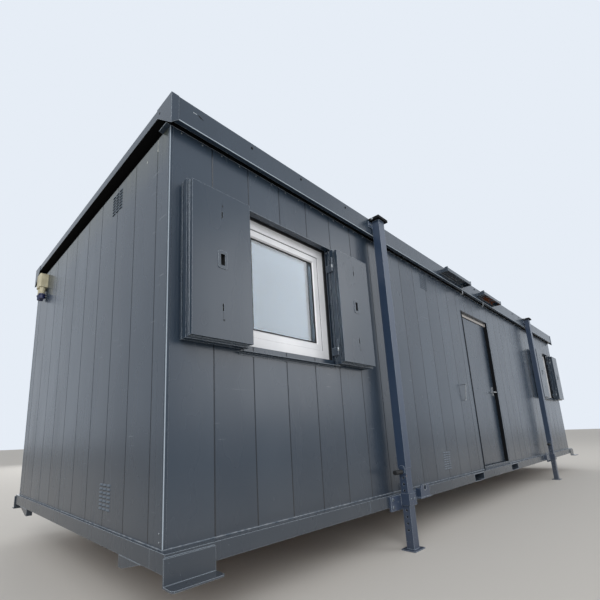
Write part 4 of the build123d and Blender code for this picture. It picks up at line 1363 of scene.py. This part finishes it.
@dataclass
class LegFittings(SubAssembly):
    """Bolts, welds, pin clips and rubber pin grips of the four jack legs."""

    # A bolt's distance along x from the leg, its distance from the cabin's middle, its level, and
    # its width in millimetres.
    bolts: tuple = (
        (0.078, 1.597, 2.890, 17.0), (0.188, 1.602, 0.340, 19.0), (0.188, 1.602, 0.398, 19.0),
        (0.028, 1.678, 0.392, 15.0),
    )
    cap_bolt: tuple[float, float, float] = (-0.084, -0.012, 2.942)
    cap_bolt_mm: float = 17.0
    casing: Pair = (0.096, 0.074)
    inner: Pair = (0.0852, 0.0632)
    cap_z: float = 2.929
    strap_y: float = 1.597
    strap_z: Pair = (2.862, 2.918)
    tab_y: float = 0.025
    tab_z: Pair = (0.637, 0.645)
    sole_z: float = 0.0088
    pin_z: float = 0.607
    pin_half: float = 0.062
    clip_radius: float = 0.013
    clip_wire_mm: float = 1.1
    clip_back: float = 0.004
    grip_ribs: int = 9
    grip_pitch: float = 0.0112
    grip_radii: Pair = (0.0176, 0.0186)
    grip_foot: Outline = ((0.0150, 0.0), (0.0186, 0.0005))
    grip_head: Outline = ((0.0186, 0.1055), (0.0165, 0.1075), (0.0060, 0.1080))

    def make(self) -> None:
        """Fit out the four legs."""
        self.seat_bolts()
        self.welds()
        self.pins()

    def seat_bolts(self) -> None:
        """Seat the painted bolts of the brackets and the bright one beside each cap."""
        painted, bright = Draft(), Draft()
        beside, behind, top = self.cap_bolt
        for end, side in CORNERS:
            x, y = end * at.leg_x, side * at.leg_y
            bright.hex_bolt((x + beside, y + side * behind, top), Out.LEFT, self.cap_bolt_mm)
            for way, (away, deep, level, width_mm) in product(SIGNS, self.bolts):
                painted.hex_bolt((x + way * away, side * deep, level), Out.along_y(side), width_mm)
        self.bench.piece(painted, "leg_bolts", "folded_frame_paint")
        self.bench.piece(bright, "leg_cap_bolts", "zinc_plate")

    def welds(self) -> None:
        """Lay the welds of the caps, straps, tabs and soles."""
        welds = Draft()
        cap, sole = self.cap_z, self.sole_z
        for end, side in CORNERS:
            x, y = end * at.leg_x, side * at.leg_y
            half_x, half_y = self.casing[0] / 2, self.casing[1] / 2
            outer, strap = y + side * half_y, side * self.strap_y
            welds.bead((x - half_x, outer, cap), (x + half_x, outer, cap), 2.8)
            for way in SIGNS:
                wall = x + way * half_x
                welds.bead((wall, y - half_y, cap), (wall, y + half_y, cap), 2.8)
                welds.bead(*((wall, strap, level) for level in self.strap_z), 2.6)
                for edge in SIGNS:
                    welds.bead(*((wall, y + edge * self.tab_y, level) for level in self.tab_z), 2.4, 5.0)
            half_x, half_y = self.inner[0] / 2, self.inner[1] / 2
            for way in SIGNS:
                long, short = y + way * half_y, x + way * half_x
                welds.bead((x - half_x, long, sole), (x + half_x, long, sole), 3.2, 5.0)
                welds.bead((short, y - half_y, sole), (short, y + half_y, sole), 3.2, 5.0)
        self.bench.piece(welds, "leg_welds", "jack_leg_paint")

    def pins(self) -> None:
        """Put a spring clip through the tip of each pin and ribbed black rubber on its grip."""
        clips, grips = Draft(), Draft()
        bare, full = self.grip_radii
        profile = [*self.grip_foot]
        for rib in range(self.grip_ribs):
            for radius, rise in ((full, 0.004), (bare, 0.006), (bare, 0.009), (full, 0.011)):
                profile.append((radius, rise + rib * self.grip_pitch))
        profile += self.grip_head
        for end, side in CORNERS:
            x, y = end * at.leg_x, side * at.leg_y
            middle = Vector((x + self.pin_half - self.clip_back, y, self.pin_z - self.clip_back))
            clips.tube(circle(middle, Z, Y, self.clip_radius, 18), self.clip_wire_mm, 6)
            grips.turned((x - self.pin_half, y, self.pin_z), Out.LEFT, tuple(profile), 20)
        self.bench.piece(clips, "leg_pin_clips", "zinc_plate")
        self.bench.piece(grips, "leg_pin_grips", "epdm_rubber")


@dataclass
class BaseFittings(SubAssembly):
    """The base's welds, bare rings round the lug eyes and lips round the fork pockets."""

    joint_x: float = 3.190
    foot_over_end: float = 0.010
    foot_length: float = 0.288
    # Where a foot's upright weld ends, and its level one lies.
    foot_z: Pair = (0.412, 0.4165)
    # How far a foot's flange stands out from the rail, and its level.
    foot_flange: Pair = (0.0115, 0.3015)
    lug_proud: float = 0.050
    cheek_half: float = 0.084
    cheek_z: Pair = (0.368, 0.426)
    plate_z: float = 0.3655
    eye_z: float = 0.441
    eye_rim: Outline = ((0.0222, 0.0), (0.0275, 0.0), (0.0270, 0.0004), (0.0226, 0.0004))
    # How far in from the wall's side the weld of an end rail's bracket runs.
    bracket: Pair = (0.176, 0.449)
    lip_edges: Pair = (0.0005, 0.0055)
    lip_ease: float = 0.0005
    lip_proud: float = 0.0012

    def make(self) -> None:
        """Dress the base."""
        welds, wear = Draft(), Draft()
        for end, side in CORNERS:
            joint = (end * self.joint_x, side * at.rail_side)
            welds.bead((*joint, at.rail_foot + 0.002), (*joint, at.wall_foot - 0.002), 2.6)
            self.foot(welds, end, side)
            self.lug(welds, wear, end, side)
            x, level = end * (at.rail_end - 0.0005), at.rail_foot - 0.0005
            near, far = (side * (at.wall_side - inset) for inset in self.bracket)
            welds.bead((x, near, level), (x, far, level), 2.8)
        self.bench.piece(welds, "base_welds", "folded_frame_paint")
        self.bench.piece(wear, "lug_eye_wear", "zinc_plate")
        self.pocket_lips()

    def foot(self, draft: Draft, end: int, side: int) -> None:
        """Weld one corner foot to its rail.

        Args:
            draft: The mesh that the welds go into.
            end: -1 at the left and 1 at the right.
            side: -1 at the front and 1 at the rear.
        """
        over = at.rail_end + self.foot_over_end
        outer, inner = end * (over - 0.006), end * (over - self.foot_length)
        (under, top), (reach, level) = self.foot_z, self.foot_flange
        face, flange = side * (at.rail_side + 0.001), (side * (at.rail_side + reach), level)
        draft.bead((outer, face, top), (inner, face, top), 3.2)
        draft.bead((inner, face, at.rail_foot + 0.003), (inner, face, under), 3.0)
        draft.bead((outer, *flange), (inner + end * 0.002, *flange), 3.0)

    def lug(self, welds: Draft, wear: Draft, end: int, side: int) -> None:
        """Weld one lug's cheeks and flange, and bare the metal round its eye, where shackles rub.

        Args:
            welds: The mesh that the welds go into.
            wear: The mesh that the bare ring goes into.
            end: -1 at the left and 1 at the right.
            side: -1 at the front and 1 at the rear.
        """
        x, half, over = end * at.lug_x, self.cheek_half, 0.0005
        face, plate = side * (at.rail_side + over), side * (at.rail_side + self.lug_proud + over)
        for way in SIGNS:
            cheek = x + way * (half + 0.0006)
            welds.bead(*((cheek, face, level) for level in self.cheek_z), 2.6)
        welds.bead((x - half, plate, self.plate_z), (x + half, plate, self.plate_z), 2.8)
        eye = Vector((x, side * (at.rail_side + self.lug_proud), self.eye_z))
        rings = [circle(eye + Y * side * rise, X, Z, radius, 24) for radius, rise in self.eye_rim]
        wear.skin(rings, closed=True)

    def pocket_lips(self) -> None:
        """Round the mouths of the fork pockets with a thin worn lip."""
        lips = Draft()
        (near, far), ease = self.lip_edges, self.lip_ease
        for name, side in product(("fork_pocket_left", "fork_pocket_right"), SIGNS):
            low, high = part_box(name)
            bed, lip = side * (at.rail_side - ease), side * (at.rail_side + self.lip_proud)
            section = ((near, bed), (far, bed), (far - ease, lip), (near + ease, lip))
            lips.loop((low.x, low.z), (high.x, high.z), section)
        self.bench.piece(lips, "fork_pocket_lips", "jack_leg_paint")


@dataclass
class InletFittings(SubAssembly):
    """Sleeve rings, cap grips, screws and a lid seam of the power inlet on the left end wall."""

    spacing: float = 0.072
    ring: Outline = ((0.028, -0.002), (0.0298, -0.001), (0.0298, 0.001), (0.028, 0.002))
    ring_rises: Pair = (0.016, 0.052)
    grips: int = 24
    grip: Outline = ((0.0014, 0.0), (0.0016, 0.001), (0.0016, 0.013), (0.0012, 0.014))
    grip_drop: float = 0.015
    cap_radius: float = 0.0336
    screw_mm: float = 4.0
    screw_from_wall: float = 0.030
    screw_drops: Pair = (0.015, 0.135)
    lid_drop: float = 0.006
    seam_inset: float = 0.012
    seam_size: Pair = (0.0004, 0.0015)

    def make(self) -> None:
        """Dress the inlet box, its sleeves and caps."""
        rings, grips, screws, seam = (Draft() for _ in range(4))
        box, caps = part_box("power_inlet"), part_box("inlet_caps")
        middle, x, rim = (box[0].y + box[1].y) / 2, (caps[0].x + caps[1].x) / 2, caps[1].z
        for way in SIGNS:
            y = middle + way * self.spacing / 2
            for rise in self.ring_rises:
                rings.turned((x, y, rim + rise), Out.UP, self.ring, 24)
            cap = Vector((x, y, rim - self.grip_drop))
            for foot in circle(cap, X, Y, self.cap_radius, self.grips):
                grips.turned(foot, Out.UP, self.grip, 6)
        for drop, (side, out) in product(self.screw_drops, ((box[0].y, Out.FRONT), (box[1].y, Out.REAR))):
            foot = (-at.wall_end - self.screw_from_wall, side, box[1].z - drop)
            screws.pan_screw(foot, out, self.screw_mm)
        lid, face, (thin, high) = box[1].z - self.lid_drop, box[0].y, self.seam_size
        # The lid's seam is a thin dark strip of painted shade.
        seam.block((box[0].x + self.seam_inset, face - thin, lid - high), (-at.wall_end, face, lid), 0.1)
        self.bench.piece(rings, "inlet_sleeve_rings", "weathered_cream_plastic")
        self.bench.piece(grips, "inlet_cap_grips", "blue_moulded_plastic")
        self.bench.piece(screws, "inlet_screws", "zinc_plate")
        self.bench.piece(seam, "inlet_lid_seam", "dark_recess")


@dataclass
class Studio(SubAssembly):
    """A pale floor, soft lamps, a pale surround and the camera at the photograph's angle."""

    floor_size: float = 160.0
    room_light: float = 0.60
    # Each softbox's name, place, side and power in watts.
    softboxes: tuple = (
        ("key_softbox", (-13.0, -10.0, 9.0), 9.0, 1150.0),
        ("fill_softbox", (9.0, -15.0, 7.0), 10.0, 700.0),
        ("rear_softbox", (2.0, 15.0, 8.0), 10.0, 700.0),
    )
    lamps_aim: tuple[float, float, float] = (0.0, 0.0, 1.6)
    camera_at: tuple[float, float, float] = (-5.828, -3.282, 0.945)
    camera_turn: tuple[float, float, float] = (102.215, 2.056, -42.811)
    focal_px: float = 379.0
    centre_px: Pair = (264.1, 353.2)
    image_px: float = 600.0
    sensor_mm: float = 36.0
    sight_limit: float = 400.0

    def make(self) -> None:
        """Make the whole studio."""
        self.floor()
        self.surround()
        self.lamps()
        self.camera()

    def stand(self, name: str, data: bpy.types.ID) -> bpy.types.Object:
        """Put a lamp, the camera or the floor in the scene.

        Args:
            name: Its name.
            data: What it is.

        Returns:
            The object.
        """
        item = bpy.data.objects.new(name, data)
        bpy.context.scene.collection.objects.link(item)
        self.bench.pieces.append(name)
        return item

    def floor(self) -> None:
        """Lay a level pale floor under the legs."""
        shape = bmesh.new()
        bmesh.ops.create_grid(shape, x_segments=1, y_segments=1, size=self.floor_size / 2)
        mesh = bpy.data.meshes.new("studio_floor")
        shape.to_mesh(mesh)
        shape.free()
        mesh.materials.append(self.bench.made["pale_floor_card"])
        floor = self.stand("studio_floor", mesh)
        floor.location.z = -0.0005

    def surround(self) -> None:
        """Light the scene evenly and show a pale cool background."""
        world = bpy.data.worlds.new("studio_surround")
        add = NodeSheet(world).add
        seen = add("LightPath", out="Is Camera Ray")
        for ray in ("Is Glossy Ray", "Is Transmission Ray"):
            seen = add("Math", {0: seen, 1: add("LightPath", out=ray)}, operation="MAXIMUM")
        light = add("Background", {"Color": (1.0, 1.0, 1.0, 1.0), "Strength": self.room_light})
        backdrop = add("Background", {"Color": linear(Paint.SURROUND), "Strength": 1.0})
        add("OutputWorld", {"Surface": add("MixShader", {0: seen, 1: light, 2: backdrop})})
        bpy.context.scene.world = world

    def lamps(self) -> None:
        """Hang the square softboxes, all aimed at the cabin."""
        for name, place, size, watts in self.softboxes:
            data = bpy.data.lights.new(name, "AREA")
            data.shape = "SQUARE"
            data.size = size
            data.energy = watts
            lamp = self.stand(name, data)
            lamp.location = place
            aim = Vector(self.lamps_aim) - Vector(place)
            lamp.rotation_euler = aim.to_track_quat("-Z", "Y").to_euler()

    def camera(self) -> None:
        """Stand the camera where the photograph was taken from."""
        data = bpy.data.cameras.new("photo_camera")
        data.sensor_width = self.sensor_mm
        data.lens = self.sensor_mm * self.focal_px / self.image_px
        data.shift_x = (self.image_px / 2 - self.centre_px[0]) / self.image_px
        data.shift_y = (self.centre_px[1] - self.image_px / 2) / self.image_px
        data.clip_end = self.sight_limit
        camera = self.stand("photo_camera", data)
        camera.location = self.camera_at
        camera.rotation_euler = [math.radians(angle) for angle in self.camera_turn]
        bpy.context.scene.camera = camera


def main() -> None:
    """Build the cabin's looks in order and report each piece."""
    logging.basicConfig(level=logging.INFO, format="%(message)s")
    bpy.context.scene.view_settings.view_transform = "Standard"
    bench = Workbench.stock()
    groups = (
        Studio, CadDressing, WallVents, WallTrim, RoofTrim, Windows, ShutterHinges, DoorFittings,
        HoodFittings, LegFittings, BaseFittings, InletFittings, ShutterFittings,
    )
    for group in groups:
        for name in group(bench).build():
            log.info("%s: %s", group.__name__, name)


if __name__ == "__main__":
    main()
